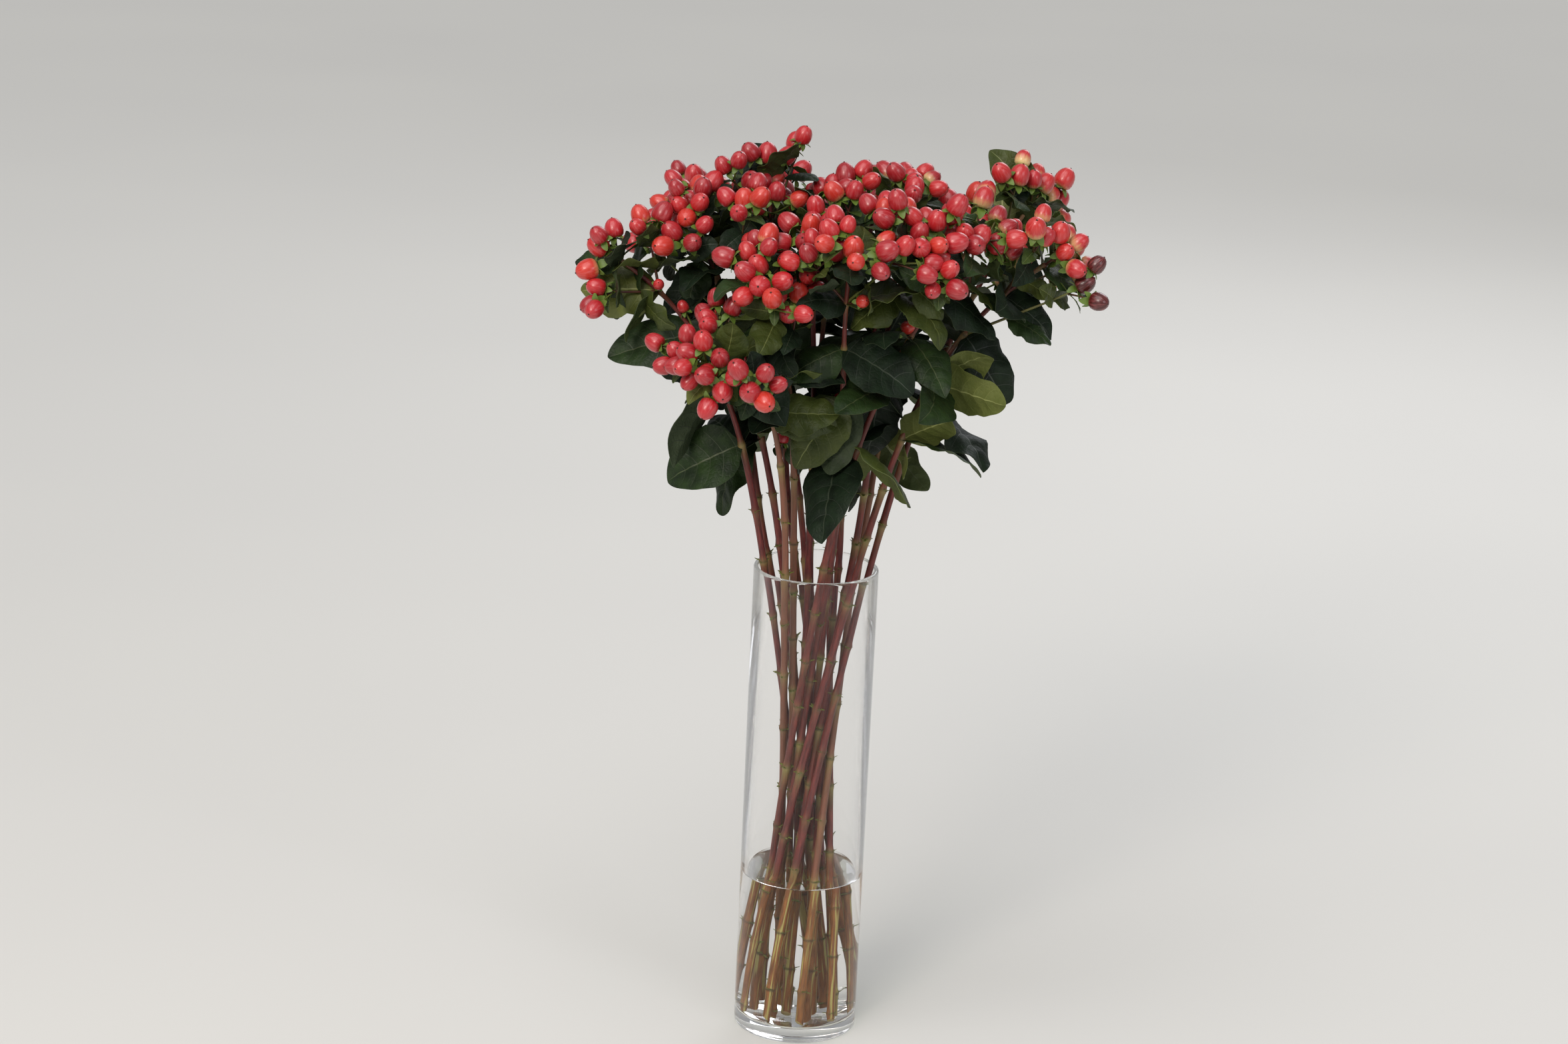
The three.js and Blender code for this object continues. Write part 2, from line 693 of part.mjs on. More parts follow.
// The vase and the water

// The outline of the glass from the middle of its underside, up the outside, over the rim, down
// the inside and back to the axis
function vaseOutline() {
  const inner = VASE_RADIUS - VASE_WALL;
  const lip = VASE_WALL / 2;
  const floorTop = VASE_FLOOR + VASE_FLOOR_ROUND;
  const quarter = Math.PI / 2;
  const path = new THREE.Path();
  path.moveTo(0, 0);
  path.lineTo(VASE_RADIUS - VASE_FOOT_ROUND, 0);
  path.absarc(VASE_RADIUS - VASE_FOOT_ROUND, VASE_FOOT_ROUND, VASE_FOOT_ROUND, -quarter, 0);
  path.lineTo(VASE_RADIUS, VASE_HEIGHT - lip);
  path.absarc(VASE_RADIUS - lip, VASE_HEIGHT - lip, lip, 0, Math.PI);
  path.lineTo(inner, floorTop);
  path.absarc(inner - VASE_FLOOR_ROUND, floorTop, VASE_FLOOR_ROUND, 0, -quarter, true);
  path.lineTo(0, VASE_FLOOR);
  return path.getPoints(2);
}

// A profile turned round the upright axis
function turnedSolid(profile) {
  return solidOf(new THREE.LatheGeometry(profile, VASE_SIDES).rotateX(Math.PI / 2));
}

// The water: what is left of a cylinder inside the glass once the stems have been cut clear
function waterSolid(lines) {
  const radius = VASE_RADIUS - VASE_WALL - CLEARANCE;
  const bottom = VASE_FLOOR + CLEARANCE;
  const profile = [
    new THREE.Vector2(0, bottom),
    new THREE.Vector2(radius - VASE_FLOOR_ROUND, bottom),
    new THREE.Vector2(radius, bottom + VASE_FLOOR_ROUND),
    new THREE.Vector2(radius, WATER_LEVEL),
    new THREE.Vector2(0, WATER_LEVEL),
  ];
  const holeRadius = FOOT_RADIUS + CLEARANCE / Math.cos(Math.PI / STEM_SIDES);
  const holes = lines.map((line) => {
    const steps = lowSteps(line);
    steps.points[0].lerp(steps.points[1], -HOLE_OVERRUN);
    return solidOf(limb(steps, holeRadius, holeRadius, STEM_SIDES, line.guide));
  });
  return largestPiece(turnedSolid(profile).subtract(wasm.Manifold.union(holes)));
}

// Assembly

const group = new THREE.Group();

function add(name, solid, finish) {
  const mesh = new THREE.Mesh(geometryOf(solid), new THREE.MeshStandardMaterial(finish));
  mesh.name = name;
  group.add(mesh);
}

// The stems come first, bare and inside the foliage, so that the rest grows round them
const lines = dealStems();
const bareStems = lines.map((line, owner) => {
  const handover = shareAtHeight(line.high, HANDOVER_HEIGHT);
  const bare = bareSteps(line, handover);
  const inner = stretch(line.high, handover, 1, AXIS_STEPS);
  const stem = solidOf(limb(bare, FOOT_RADIUS, HANDOVER_RADIUS, STEM_SIDES, line.guide));
  const axis = solidOf(limb(inner, HANDOVER_RADIUS, CROWN_NODE_RADIUS, AXIS_SIDES, line.guide));
  claim(stem, "bare", "stem");
  claim(axis, owner, "axis");
  return stem;
});
HEADS.forEach((head, owner) => growEndCyme(owner, head, lines[owner]));
HEADS.forEach((head, owner) => growBranches(owner, head, lines[owner]));
growShownLeaves(lines);
HEADS.forEach((head, owner) => growLeaves(owner, head, lines[owner]));

add("vase", turnedSolid(vaseOutline()), GLASS);
add("water", waterSolid(lines), WATER);
bareStems.forEach((stem, owner) => {
  const number = String(owner + 1).padStart(2, "0");
  const own = claimed.filter((item) => item.owner === owner).map((item) => item.solid);
  add(`stem_${number}`, stem, BARK);
  add(`head_${number}`, largestPiece(wasm.Manifold.union(own)), FOLIAGE);
});

export default group;
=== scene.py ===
"""Looks for a bunch of cut St John's wort stems with ripe berries in a tall glass cylinder vase.

Metres, +Z up, the front faces -Y. The stems, berries and leaves grow by the rules of the part's
source. Those rules are in millimetres, and MM turns them to metres.
"""

import logging
from dataclasses import dataclass, field
from enum import Enum
from functools import reduce
from math import cos, pi, radians, sin, tan
from typing import Any, Iterable, Iterator, Sequence

import bpy
import numpy as np
from bpy.types import Material, Mesh, Node, NodeSocket, NodeTree, Object
from mathutils import Matrix, Vector
from mathutils.bvhtree import BVHTree
from mathutils.kdtree import KDTree


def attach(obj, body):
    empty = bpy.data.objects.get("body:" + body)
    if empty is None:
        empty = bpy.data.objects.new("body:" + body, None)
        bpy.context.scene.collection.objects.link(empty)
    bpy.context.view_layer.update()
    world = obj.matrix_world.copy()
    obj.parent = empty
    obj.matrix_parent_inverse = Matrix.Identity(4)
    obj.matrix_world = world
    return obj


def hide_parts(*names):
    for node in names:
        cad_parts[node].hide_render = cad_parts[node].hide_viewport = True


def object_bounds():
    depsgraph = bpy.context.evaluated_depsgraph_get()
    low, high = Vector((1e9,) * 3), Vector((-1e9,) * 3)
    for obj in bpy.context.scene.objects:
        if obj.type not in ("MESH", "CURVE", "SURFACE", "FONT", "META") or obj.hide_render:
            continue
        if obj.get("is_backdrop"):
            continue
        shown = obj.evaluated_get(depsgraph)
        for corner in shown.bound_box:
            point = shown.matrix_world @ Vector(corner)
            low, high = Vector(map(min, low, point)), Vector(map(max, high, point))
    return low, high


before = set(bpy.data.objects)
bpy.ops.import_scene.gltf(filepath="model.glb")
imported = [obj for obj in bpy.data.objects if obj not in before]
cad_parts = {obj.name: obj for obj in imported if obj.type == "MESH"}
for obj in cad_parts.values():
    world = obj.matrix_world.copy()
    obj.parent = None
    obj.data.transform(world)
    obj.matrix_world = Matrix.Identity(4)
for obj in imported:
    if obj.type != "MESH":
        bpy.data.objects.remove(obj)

log = logging.getLogger("bunch")

Array = np.ndarray
Values = dict[str | int, Any]

MM = 0.001
SEED = 7
MASK = 0xFFFFFFFF
UP = np.array((0.0, 0.0, 1.0))
SIDEWAYS = np.array((1.0, 0.0, 0.0))


class Tint(Enum):
    """The leaves' greens, from old ones darkened partly by painted shade to the young ones."""

    DEEP = "deep"
    DARK = "dark"
    MID = "mid"
    FRESH = "fresh"


DEEP, DARK, MID, FRESH = Tint


# The seeded chance and the directions of the growth rules


def times(a: int, b: int) -> int:
    """Multiplies two whole numbers and keeps the low 32 bits."""
    return (a * b) & MASK


@dataclass(frozen=True)
class Place:
    """A numbered place in a head, which gives the same draws each time, one for each use."""

    owner: int
    number: int

    def share(self, use: int) -> float:
        """A draw from 0 to 1 that is always the same for the same place and use.

        Args:
            use: The number of what the draw is for.

        Returns:
            The draw.
        """
        state = SEED
        for value, factor in ((self.owner, 374761393), (self.number, 668265263), (use, 974634777)):
            state ^= times(value + 1, factor)
        state = times(state ^ (state >> 15), 739982445)
        state = times(state ^ (state >> 12), 695872825)
        return (state ^ (state >> 15)) / (MASK + 1)

    def near(self, middle: float, spread: float, use: int) -> float:
        """A draw spread evenly to either side of a middle value."""
        return middle + spread * (2 * self.share(use) - 1)

    def angle(self, middle: float, spread: float, use: int) -> float:
        """Such a draw in degrees, turned to radians."""
        return radians(self.near(middle, spread, use))

    def numbered(self, number: int) -> "Place":
        """The place with another number in the same head."""
        return Place(self.owner, number)


def unit(v: Array) -> Array:
    """A vector's direction."""
    return v / np.linalg.norm(v)


def polar(length: float, angle: float, height: float) -> Array:
    """A vector of a length at an angle round the upright axis, and a height."""
    return np.array((length * cos(angle), length * sin(angle), height))


def square_to(direction: Array, guide: Array) -> tuple[Array, Array]:
    """Two unit vectors square to a direction: the first lies as near as it can to a guide."""
    first = unit(guide - direction * np.dot(guide, direction))
    return first, np.cross(direction, first)


def guide_for(direction: Array) -> Array:
    """A guide that doesn't lie along a direction."""
    return UP if abs(direction[2]) < 0.9 else SIDEWAYS


def swung(first: Array, second: Array, angle: float) -> Array:
    """A unit vector swung by an angle towards a second one that is square to it."""
    return first * cos(angle) + second * sin(angle)


def turned_about(v: Array, axis: Array, angle: float) -> Array:
    """A vector turned by an angle about a unit axis that it is square to."""
    return swung(v, np.cross(axis, v), angle)


def laid_out(root: Array, *parts: tuple[Array, Array]) -> Array:
    """Points counted from a root. Each part is their ways in a direction, and the direction."""
    return reduce(lambda points, part: points + np.outer(*part), parts, root)


# Colours and nodes


def linear(code: str) -> tuple[float, ...]:
    """Turns an sRGB hex colour, such as "c8303a", to linear light, with 1 for alpha."""
    shares = [int(code[i : i + 2], 16) / 255 for i in (0, 2, 4)]
    return (*(s / 12.92 if s <= 0.04045 else ((s + 0.055) / 1.055) ** 2.4 for s in shares), 1.0)


def fit(node: Node, values: Values) -> None:
    """Gives a node its values. A socket is linked, and a hex colour is turned to linear.

    Args:
        node: The node.
        values: Values and sockets, by property name or by the input's name or number.
    """
    for name, value in values.items():
        if isinstance(name, str) and hasattr(node, name):
            setattr(node, name, value)
        elif isinstance(value, NodeSocket):
            node.id_data.links.new(value, node.inputs[name])
        else:
            node.inputs[name].default_value = linear(value) if isinstance(value, str) else value


def add_node(tree: NodeTree, kind: str, values: Values | None = None, out: str | int = 0) -> NodeSocket:
    """Adds a node with its settings and links.

    Args:
        tree: The node tree.
        kind: The node's type name without its first word, ShaderNode.
        values: Its values and the sockets that feed it, as fit takes them.
        out: The name or number of the output that is wanted.

    Returns:
        The output socket.
    """
    node = tree.nodes.new("ShaderNode" + kind)
    fit(node, values or {})
    return node.outputs[out]


# Finishes


@dataclass(frozen=True)
class Finish:
    """A finish with its material's name."""

    name: str

    def build(self) -> Material:
        """Makes the material.

        Returns:
            The material.
        """
        material = bpy.data.materials.new(self.name)
        material.use_nodes = True
        tree = material.node_tree
        self.fill(tree, tree.nodes["Principled BSDF"])
        return material

    def fill(self, tree: NodeTree, shader: Node) -> None:
        """Adds the finish's nodes."""
        raise NotImplementedError


@dataclass(frozen=True)
class SeeThrough(Finish):
    """A clear dielectric, glass or water. Lamps shine through it, so what stands inside is lit."""

    ior: float
    shadow: str
    ripple: float = 0.0
    ripple_mm: float = 70.0
    colour: str = "ffffff"
    mirror: str = "909494"

    def fill(self, tree: NodeTree, shader: Node) -> None:
        """Adds the finish's nodes.

        Args:
            tree: The node tree.
            shader: Its main shader.
        """
        clear = {"Base Color": self.colour, "Transmission Weight": 1.0, "IOR": self.ior}
        fit(shader, {**clear, "Specular Tint": self.mirror, "Roughness": 0.0})
        if self.ripple:
            spot = add_node(tree, "TexCoord", out="Object")
            slow = {"Scale": 1 / (self.ripple_mm * MM), "Detail": 1.0, "Vector": spot}
            wave = add_node(tree, "TexNoise", slow)
            low = {"Strength": self.ripple, "Distance": 0.6 * MM, "Height": wave}
            fit(shader, {"Normal": add_node(tree, "Bump", low)})
        rays = [add_node(tree, "LightPath", out=kind) for kind in ("Is Shadow Ray", "Is Diffuse Ray")]
        lit = add_node(tree, "Math", {"operation": "MAXIMUM", 0: rays[0], 1: rays[1]})
        open_ = add_node(tree, "BsdfTransparent", {"Color": self.shadow})
        mixed = add_node(tree, "MixShader", {0: lit, 1: shader.outputs[0], 2: open_})
        fit(tree.nodes["Material Output"], {"Surface": mixed})


@dataclass(frozen=True)
class StemBark(Finish):
    """The smooth thin bark of cut stems: burgundy, paler and green below each node, and ochre with
    peeled streaks where it has stood in water. It reads the stem's own map and attributes."""

    deep: str = "4c1618"
    light: str = "7c2f2c"
    pale: str = "8a6246"
    node: str = "a5a25a"
    ring: str = "33200f"
    soaked: str = "70431f"
    wet: str = "9c6229"
    peeled: str = "b9b066"
    water_level_m: float = 0.135

    def fill(self, tree: NodeTree, shader: Node) -> None:
        """Adds the finish's nodes.

        Args:
            tree: The node tree.
            shader: Its main shader.
        """
        pale, band, ring = (
            add_node(tree, "Attribute", {"attribute_name": mark}, "Fac")
            for mark in ("pale", "band", "ring")
        )
        grain = add_node(tree, "UVMap", {"uv_map": "grain"})
        fine = {"Scale": 1.0, "Detail": 3.0, "Roughness": 0.6, "Vector": grain}
        streaks = add_node(tree, "TexNoise", fine)
        lighter = add_node(tree, "MapRange", {"From Min": 0.36, "From Max": 0.68, "Value": streaks})
        # Strips of bark about 2 mm wide and 50 mm long have peeled off under water
        stretched = add_node(tree, "Mapping", {"Scale": (1.1, 0.3, 1.0), "Vector": grain})
        strips = add_node(tree, "TexNoise", {**fine, "Roughness": 0.4, "Vector": stretched})
        bare = {"From Min": 0.55, "From Max": 0.62, "To Max": 0.85, "Value": strips}
        peel = add_node(tree, "MapRange", bare)
        height = add_node(tree, "SeparateXYZ", {0: add_node(tree, "TexCoord", out="Object")}, "Z")
        wet = {"From Min": self.water_level_m + 12 * MM, "From Max": self.water_level_m - 14 * MM}
        depth = add_node(tree, "MapRange", {**wet, "To Max": 0.86, "Value": height})
        soaked = self.soaked
        for share, laid in ((lighter, self.wet), (peel, self.peeled)):
            soaked = add_node(tree, "Mix", {"data_type": "RGBA", 0: share, 6: soaked, 7: laid}, 2)
        colour = self.deep
        layers = ((lighter, self.light), (pale, self.pale), (band, self.node), (depth, soaked))
        for share, laid in (*layers, (ring, self.ring)):
            colour = add_node(tree, "Mix", {"data_type": "RGBA", 0: share, 6: colour, 7: laid}, 2)
        rough = add_node(tree, "MapRange", {"To Min": 0.38, "To Max": 0.6, "Value": streaks})
        bump = add_node(tree, "Bump", {"Strength": 0.35, "Distance": 0.25 * MM, "Height": streaks})
        fit(shader, {"Base Color": colour, "Roughness": rough, "Normal": bump})


@dataclass(frozen=True)
class StalkSkin(Finish):
    """The thin skin of the berry stalks: dark red-brown on most, olive on some."""

    red: str = "4c211c"
    green: str = "66702f"
    mottle_mm: float = 9.0

    def fill(self, tree: NodeTree, shader: Node) -> None:
        """Adds the finish's nodes.

        Args:
            tree: The node tree.
            shader: Its main shader.
        """
        green = add_node(tree, "Attribute", {"attribute_name": "green"}, "Fac")
        spot = add_node(tree, "TexCoord", out="Object")
        mottle = add_node(tree, "TexNoise", {"Scale": 1 / (self.mottle_mm * MM), "Vector": spot})
        share = add_node(tree, "Math", {"operation": "MULTIPLY_ADD", 0: mottle, 1: 0.5, 2: green})
        clipped = add_node(tree, "MapRange", {"From Min": 0.25, "From Max": 1.1, "Value": share})
        skin = add_node(tree, "Mix", {"data_type": "RGBA", 0: clipped, 6: self.red, 7: self.green}, 2)
        fit(shader, {"Roughness": 0.45, "Base Color": skin})


@dataclass(frozen=True)
class LeafBlade(Finish):
    """A leaf's waxy blade: a green with a slow mottle of a second one, a fine net of veins that
    only shows as relief, and the soft gloss of a leaf that is a little waxy."""

    first: str
    second: str
    roughness: float
    gloss: float = 0.3
    mottle_mm: float = 14.0
    net_mm: float = 3.8

    def fill(self, tree: NodeTree, shader: Node) -> None:
        """Adds the finish's nodes.

        Args:
            tree: The node tree.
            shader: Its main shader.
        """
        spot = add_node(tree, "TexCoord", out="Object")
        slow = {"Scale": 1 / (self.mottle_mm * MM), "Detail": 3.0, "Vector": spot}
        mottle = add_node(tree, "TexNoise", slow)
        share = add_node(tree, "MapRange", {"From Min": 0.35, "From Max": 0.65, "Value": mottle})
        green = add_node(tree, "Mix", {"data_type": "RGBA", 0: share, 6: self.first, 7: self.second}, 2)
        mesh = {"feature": "DISTANCE_TO_EDGE", "Scale": 1 / (self.net_mm * MM), "Vector": spot}
        net = add_node(tree, "TexVoronoi", mesh, "Distance")
        groove = add_node(tree, "MapRange", {"From Max": 0.22, "Value": net})
        veins = add_node(tree, "Bump", {"Strength": 0.5, "Distance": 0.25 * MM, "Height": groove})
        wax = {"Roughness": self.roughness, "Specular IOR Level": self.gloss}
        fit(shader, {**wax, "Base Color": green, "Normal": veins})


@dataclass(frozen=True)
class TwoTone(Finish):
    """One colour with soft patches of a second one, as on veins, sepals and cut wood."""

    first: str
    second: str
    roughness: float = 0.5
    patch_mm: float = 5.0
    detail: float = 2.0

    def fill(self, tree: NodeTree, shader: Node) -> None:
        """Adds the finish's nodes.

        Args:
            tree: The node tree.
            shader: Its main shader.
        """
        spot = add_node(tree, "TexCoord", out="Object")
        soft = {"Scale": 1 / (self.patch_mm * MM), "Detail": self.detail, "Vector": spot}
        patch = add_node(tree, "TexNoise", soft)
        tone = add_node(tree, "Mix", {"data_type": "RGBA", 0: patch, 6: self.first, 7: self.second}, 2)
        fit(shader, {"Roughness": self.roughness, "Base Color": tone})


@dataclass(frozen=True)
class BerrySkin(Finish):
    """The taut skin of a ripe berry: coral to deep red with fine lighter streaks from base to tip,
    cream at the base of those that aren't fully ripe, and a soft wet gloss."""

    ripe: str = "ba2129"
    deep: str = "84141d"
    orange: str = "ca3323"
    dried: str = "4a1210"
    streak: str = "e27a7c"
    cream: str = "e9d294"
    streak_share: float = 0.42

    def fill(self, tree: NodeTree, shader: Node) -> None:
        """Adds the finish's nodes.

        Args:
            tree: The node tree.
            shader: Its main shader.
        """
        skin_map = add_node(tree, "UVMap", {"uv_map": "skin"})
        along = add_node(tree, "SeparateXYZ", {0: skin_map}, "Y")
        stretched = add_node(tree, "Mapping", {"Scale": (30.0, 1.6, 1.0), "Vector": skin_map})
        fine = {"Scale": 1.0, "Detail": 3.0, "Roughness": 0.6, "Vector": stretched}
        streaks = add_node(tree, "TexNoise", fine)
        tint, cream = (
            add_node(tree, "Attribute", {"attribute_name": mark}, "Fac") for mark in ("tint", "cream")
        )
        wavy = add_node(tree, "Math", {"operation": "MULTIPLY_ADD", 0: streaks, 1: 0.5, 2: along})
        edge = add_node(tree, "Math", {"operation": "SUBTRACT", 0: cream, 1: wavy})
        colour = self.ripe
        for laid, source, low, high, most in (
            (self.deep, tint, 0.5, 1.0, 1.0), (self.orange, tint, 0.5, 0.0, 1.0),
            (self.dried, tint, 1.0, 1.3, 1.0), (self.streak, streaks, 0.48, 0.78, self.streak_share),
            (self.cream, edge, -0.42, 0.12, 1.0),
        ):
            span = {"From Min": low, "From Max": high, "To Max": most, "Value": source}
            share = add_node(tree, "MapRange", span)
            colour = add_node(tree, "Mix", {"data_type": "RGBA", 0: share, 6: colour, 7: laid}, 2)
        rough = add_node(tree, "MapRange", {"To Min": 0.3, "To Max": 0.46, "Value": streaks})
        bump = add_node(tree, "Bump", {"Strength": 0.2, "Distance": 0.2 * MM, "Height": streaks})
        flesh = {"Subsurface Weight": 0.08, "Subsurface Radius": (2.4 * MM, 0.8 * MM, 0.6 * MM)}
        gloss = {"Subsurface Scale": 1.0, "Coat Weight": 0.45, "Coat Roughness": 0.2}
        fit(shader, {**flesh, **gloss, "Base Color": colour, "Roughness": rough, "Normal": bump})


GLASS = SeeThrough("clear_pressed_glass", 1.5, "f8faf9", ripple=0.05)
WATER = SeeThrough("still_tap_water", 1.333, "fafbf8")
BARK = StemBark("smooth_red_bark")
# Cut wood, torn stubs and dry tips are dull, and a fresh sepal has a soft gloss
WOOD = TwoTone("fresh_cut_wood", "c6b283", "9c8048", 0.7, 1.5)
TORN = TwoTone("torn_leaf_stub", "86903c", "3c2e16", 0.7, 2.0)
STALK = StalkSkin("thin_stalk_skin")
BERRY = BerrySkin("taut_berry_skin")
DRY_TIP = TwoTone("dry_berry_tip", "2c1410", "4a241a", 0.8, 1.0)
SEPAL = TwoTone("fresh_sepal", "4e6a22", "6e8636", 0.5, 6.0)
# Matt painted board, almost white, with a trace of mottle
BOARD = TwoTone("matt_pale_board", "dcdad5", "d7d5d1", 0.75, 625, 1.0)

# Each green's upper side, underside, side veins and midrib. Old leaves are thick and dull, so they
# are dark and take little gloss; the nearly black green of the deepest is partly painted shade.
GREENS: dict[Tint, tuple[Finish, ...]] = {
    DEEP: (
        # The deepest upper side is partly painted shade: its near black is darker than an old leaf's own
        # green
        LeafBlade("old_leaf_green_and_painted_shade", "0f190e", "1a2818", 0.54, 0.17),
        LeafBlade("old_leaf_pale_underside", "323d28", "3d4831", 0.62),
        TwoTone("old_leaf_side_veins", "1a2218", "222b1e"),
        TwoTone("old_leaf_midrib", "2a3324", "323c2a"),
    ),
    DARK: (
        LeafBlade("old_leaf_dark_green", "1a2812", "293c1a", 0.5, 0.23),
        LeafBlade("dark_leaf_pale_underside", "394522", "45512b", 0.62),
        TwoTone("dark_leaf_side_veins", "29351b", "323f21"),
        TwoTone("dark_leaf_midrib", "3c4626", "46502e"),
    ),
    MID: (
        LeafBlade("grown_leaf_green", "343e17", "434c1f", 0.48, 0.28),
        LeafBlade("grown_leaf_pale_underside", "4c5728", "58622f", 0.62),
        TwoTone("grown_leaf_side_veins", "454e23", "50582a"),
        TwoTone("grown_leaf_midrib", "646c38", "6f7640"),
    ),
    FRESH: (
        LeafBlade("young_leaf_olive_green", "586029", "6a7136", 0.48),
        LeafBlade("young_leaf_pale_underside", "5e6730", "6c733c", 0.62),
        TwoTone("young_leaf_side_veins", "70773c", "7a8044"),
        TwoTone("young_leaf_midrib", "949a5c", "a0a566"),
    ),
}
SMALL_GREENS = (
    LeafBlade("small_leaf_green", "2f3f18", "435423", 0.46),
    LeafBlade("small_leaf_underside", "4a5a28", "586834", 0.6),
    TwoTone("small_leaf_side_veins", "4c5c2a", "566632"),
    TwoTone("small_leaf_midrib", "66743a", "707c42"),
)


# Modelling helpers


def deselect_all() -> None:
    """Leaves object mode's selection empty."""
    if bpy.context.object and bpy.context.object.mode != "OBJECT":
        bpy.ops.object.mode_set(mode="OBJECT")
    bpy.ops.object.select_all(action="DESELECT")


def select_only(piece: Object) -> None:
    """Makes a piece the only selected one.

    Args:
        piece: The piece.
    """
    deselect_all()
    piece.select_set(True)
    bpy.context.view_layer.objects.active = piece


def begin_edit(piece: Object) -> None:
    """Opens a piece with all of its mesh selected.

    Args:
        piece: The piece.
    """
    select_only(piece)
    bpy.ops.object.mode_set(mode="EDIT")
    bpy.ops.mesh.select_all(action="SELECT")


def end_edit(skin: bool = False) -> None:
    """Goes back to object mode.

    Args:
        skin: Whether the mesh is a closed skin, whose faces are first turned outward.
    """
    if skin:
        bpy.ops.mesh.select_all(action="SELECT")
        bpy.ops.mesh.normals_make_consistent(inside=False)
    bpy.ops.object.mode_set(mode="OBJECT")


def numbers(items: Any, name: str, kind: type, width: int = 1) -> Array:
    """Reads one property of all the items of a mesh collection.

    Args:
        items: The collection.
        name: The property.
        kind: The type of its numbers.
        width: How many numbers each item has.

    Returns:
        The numbers, in a row for each item that has more than one.
    """
    found = np.empty(len(items) * width, kind)
    items.foreach_get(name, found)
    return found.reshape(-1, width) if width > 1 else found


def corners_of(mesh: Mesh) -> Array:
    """The corners of a mesh, a row for each."""
    return numbers(mesh.vertices, "co", np.float32, 3).astype(float)


def reshape(piece: Object, *axes: Array) -> None:
    """Moves a mesh's corners to new x, y and z."""
    piece.data.vertices.foreach_set("co", np.stack(axes, 1).astype(np.float32).ravel())
    piece.data.update()


def draw_out(piece: Object, thickness: float) -> None:
    """Makes a flat mesh a closed sheet by drawing it down.

    Args:
        piece: The piece.
        thickness: How far it is drawn.
    """
    begin_edit(piece)
    bpy.ops.mesh.extrude_region_move(TRANSFORM_OT_translate={"value": (0, 0, -thickness)})
    end_edit(skin=True)


def turned_piece(name: str, profile: Sequence[tuple[float, float]], steps: int) -> Object:
    """Models a turned body: one point is extruded along a profile, which is spun to a closed skin.

    Args:
        name: The piece's name.
        profile: Radii and heights in metres, from the axis back to the axis.
        steps: Steps round the axis.

    Returns:
        The piece.
    """
    deselect_all()
    radius, height = profile[0]
    bpy.ops.mesh.primitive_plane_add(size=MM, location=(radius, 0, height))
    piece = bpy.context.object
    piece.name = name
    bpy.ops.object.transform_apply()
    begin_edit(piece)
    bpy.ops.mesh.merge(type="CENTER")
    for (radius, height), (next_radius, next_height) in zip(profile, profile[1:]):
        step = (next_radius - radius, 0, next_height - height)
        bpy.ops.mesh.extrude_region_move(TRANSFORM_OT_translate={"value": step})
    bpy.ops.mesh.select_all(action="SELECT")
    bpy.ops.mesh.spin(steps=steps, angle=2 * pi, center=(0, 0, 0), axis=(0, 0, 1))
    bpy.ops.mesh.select_all(action="SELECT")
    bpy.ops.mesh.remove_doubles(threshold=0.001 * MM)
    end_edit(skin=True)
    return piece


@dataclass
class Template:
    """A small mesh that is modelled once and copied many times, held as arrays. Its points are in
    the maker's own coordinates, which each copy bends to its place."""

    points: Array
    corners: Array
    sizes: Array
    slots: Array

    @classmethod
    def taken_from(cls, piece: Object) -> "Template":
        """Reads a modelled piece and removes it.

        Args:
            piece: The piece.

        Returns:
            The template.
        """
        mesh = piece.data
        corners = numbers(mesh.loops, "vertex_index", np.int32)
        faces = (numbers(mesh.polygons, name, np.int32) for name in ("loop_total", "material_index"))
        made = cls(corners_of(mesh), corners, *faces)
        bpy.data.objects.remove(piece)
        bpy.data.meshes.remove(mesh)
        return made


@dataclass
class Heap:
    """Many copies of templates that end as one joined mesh."""

    name: str
    map_name: str = ""
    copies: list[tuple[Array, ...]] = field(default_factory=list)
    places: list[Array] = field(default_factory=list)
    values: dict[str, list[Array]] = field(default_factory=dict)
    count: int = 0

    def add(
        self, template: Template, points: Array, places: Array | None = None, **values: Array | float
    ) -> None:
        """Adds one copy.

        Args:
            template: The template that is copied.
            points: The copy's points in millimetres.
            places: The copy's map, one row per corner.
            values: Attributes of the copy, one number or one per point.
        """
        corners = template.corners + self.count
        self.copies.append((points * MM, corners, template.sizes, template.slots))
        if places is not None:
            self.places.append(places)
        for name, value in values.items():
            self.values.setdefault(name, []).append(np.broadcast_to(value, len(points)))
        self.count += len(points)

    def build(self) -> Object:
        """Makes the joined mesh.

        Returns:
            Its piece.
        """
        mesh = bpy.data.meshes.new(self.name)
        points, corners, sizes, slots = (np.concatenate(part) for part in zip(*self.copies))
        mesh.vertices.add(len(points))
        mesh.vertices.foreach_set("co", points.astype(np.float32).ravel())
        mesh.loops.add(len(corners))
        mesh.loops.foreach_set("vertex_index", corners)
        mesh.polygons.add(len(sizes))
        mesh.polygons.foreach_set("loop_start", np.concatenate(([0], np.cumsum(sizes)[:-1])))
        mesh.polygons.foreach_set("material_index", slots)
        mesh.polygons.foreach_set("use_smooth", np.ones(len(sizes), bool))
        mesh.update(calc_edges=True)
        if self.places:
            layer = mesh.uv_layers.new(name=self.map_name)
            layer.uv.foreach_set("vector", np.concatenate(self.places).astype(np.float32).ravel())
        for name, parts in self.values.items():
            made = mesh.attributes.new(name, "FLOAT", "POINT")
            made.data.foreach_set("value", np.concatenate(parts).astype(np.float32))
        mesh.validate()
        piece = bpy.data.objects.new(self.name, mesh)
        bpy.context.scene.collection.objects.link(piece)
        return piece


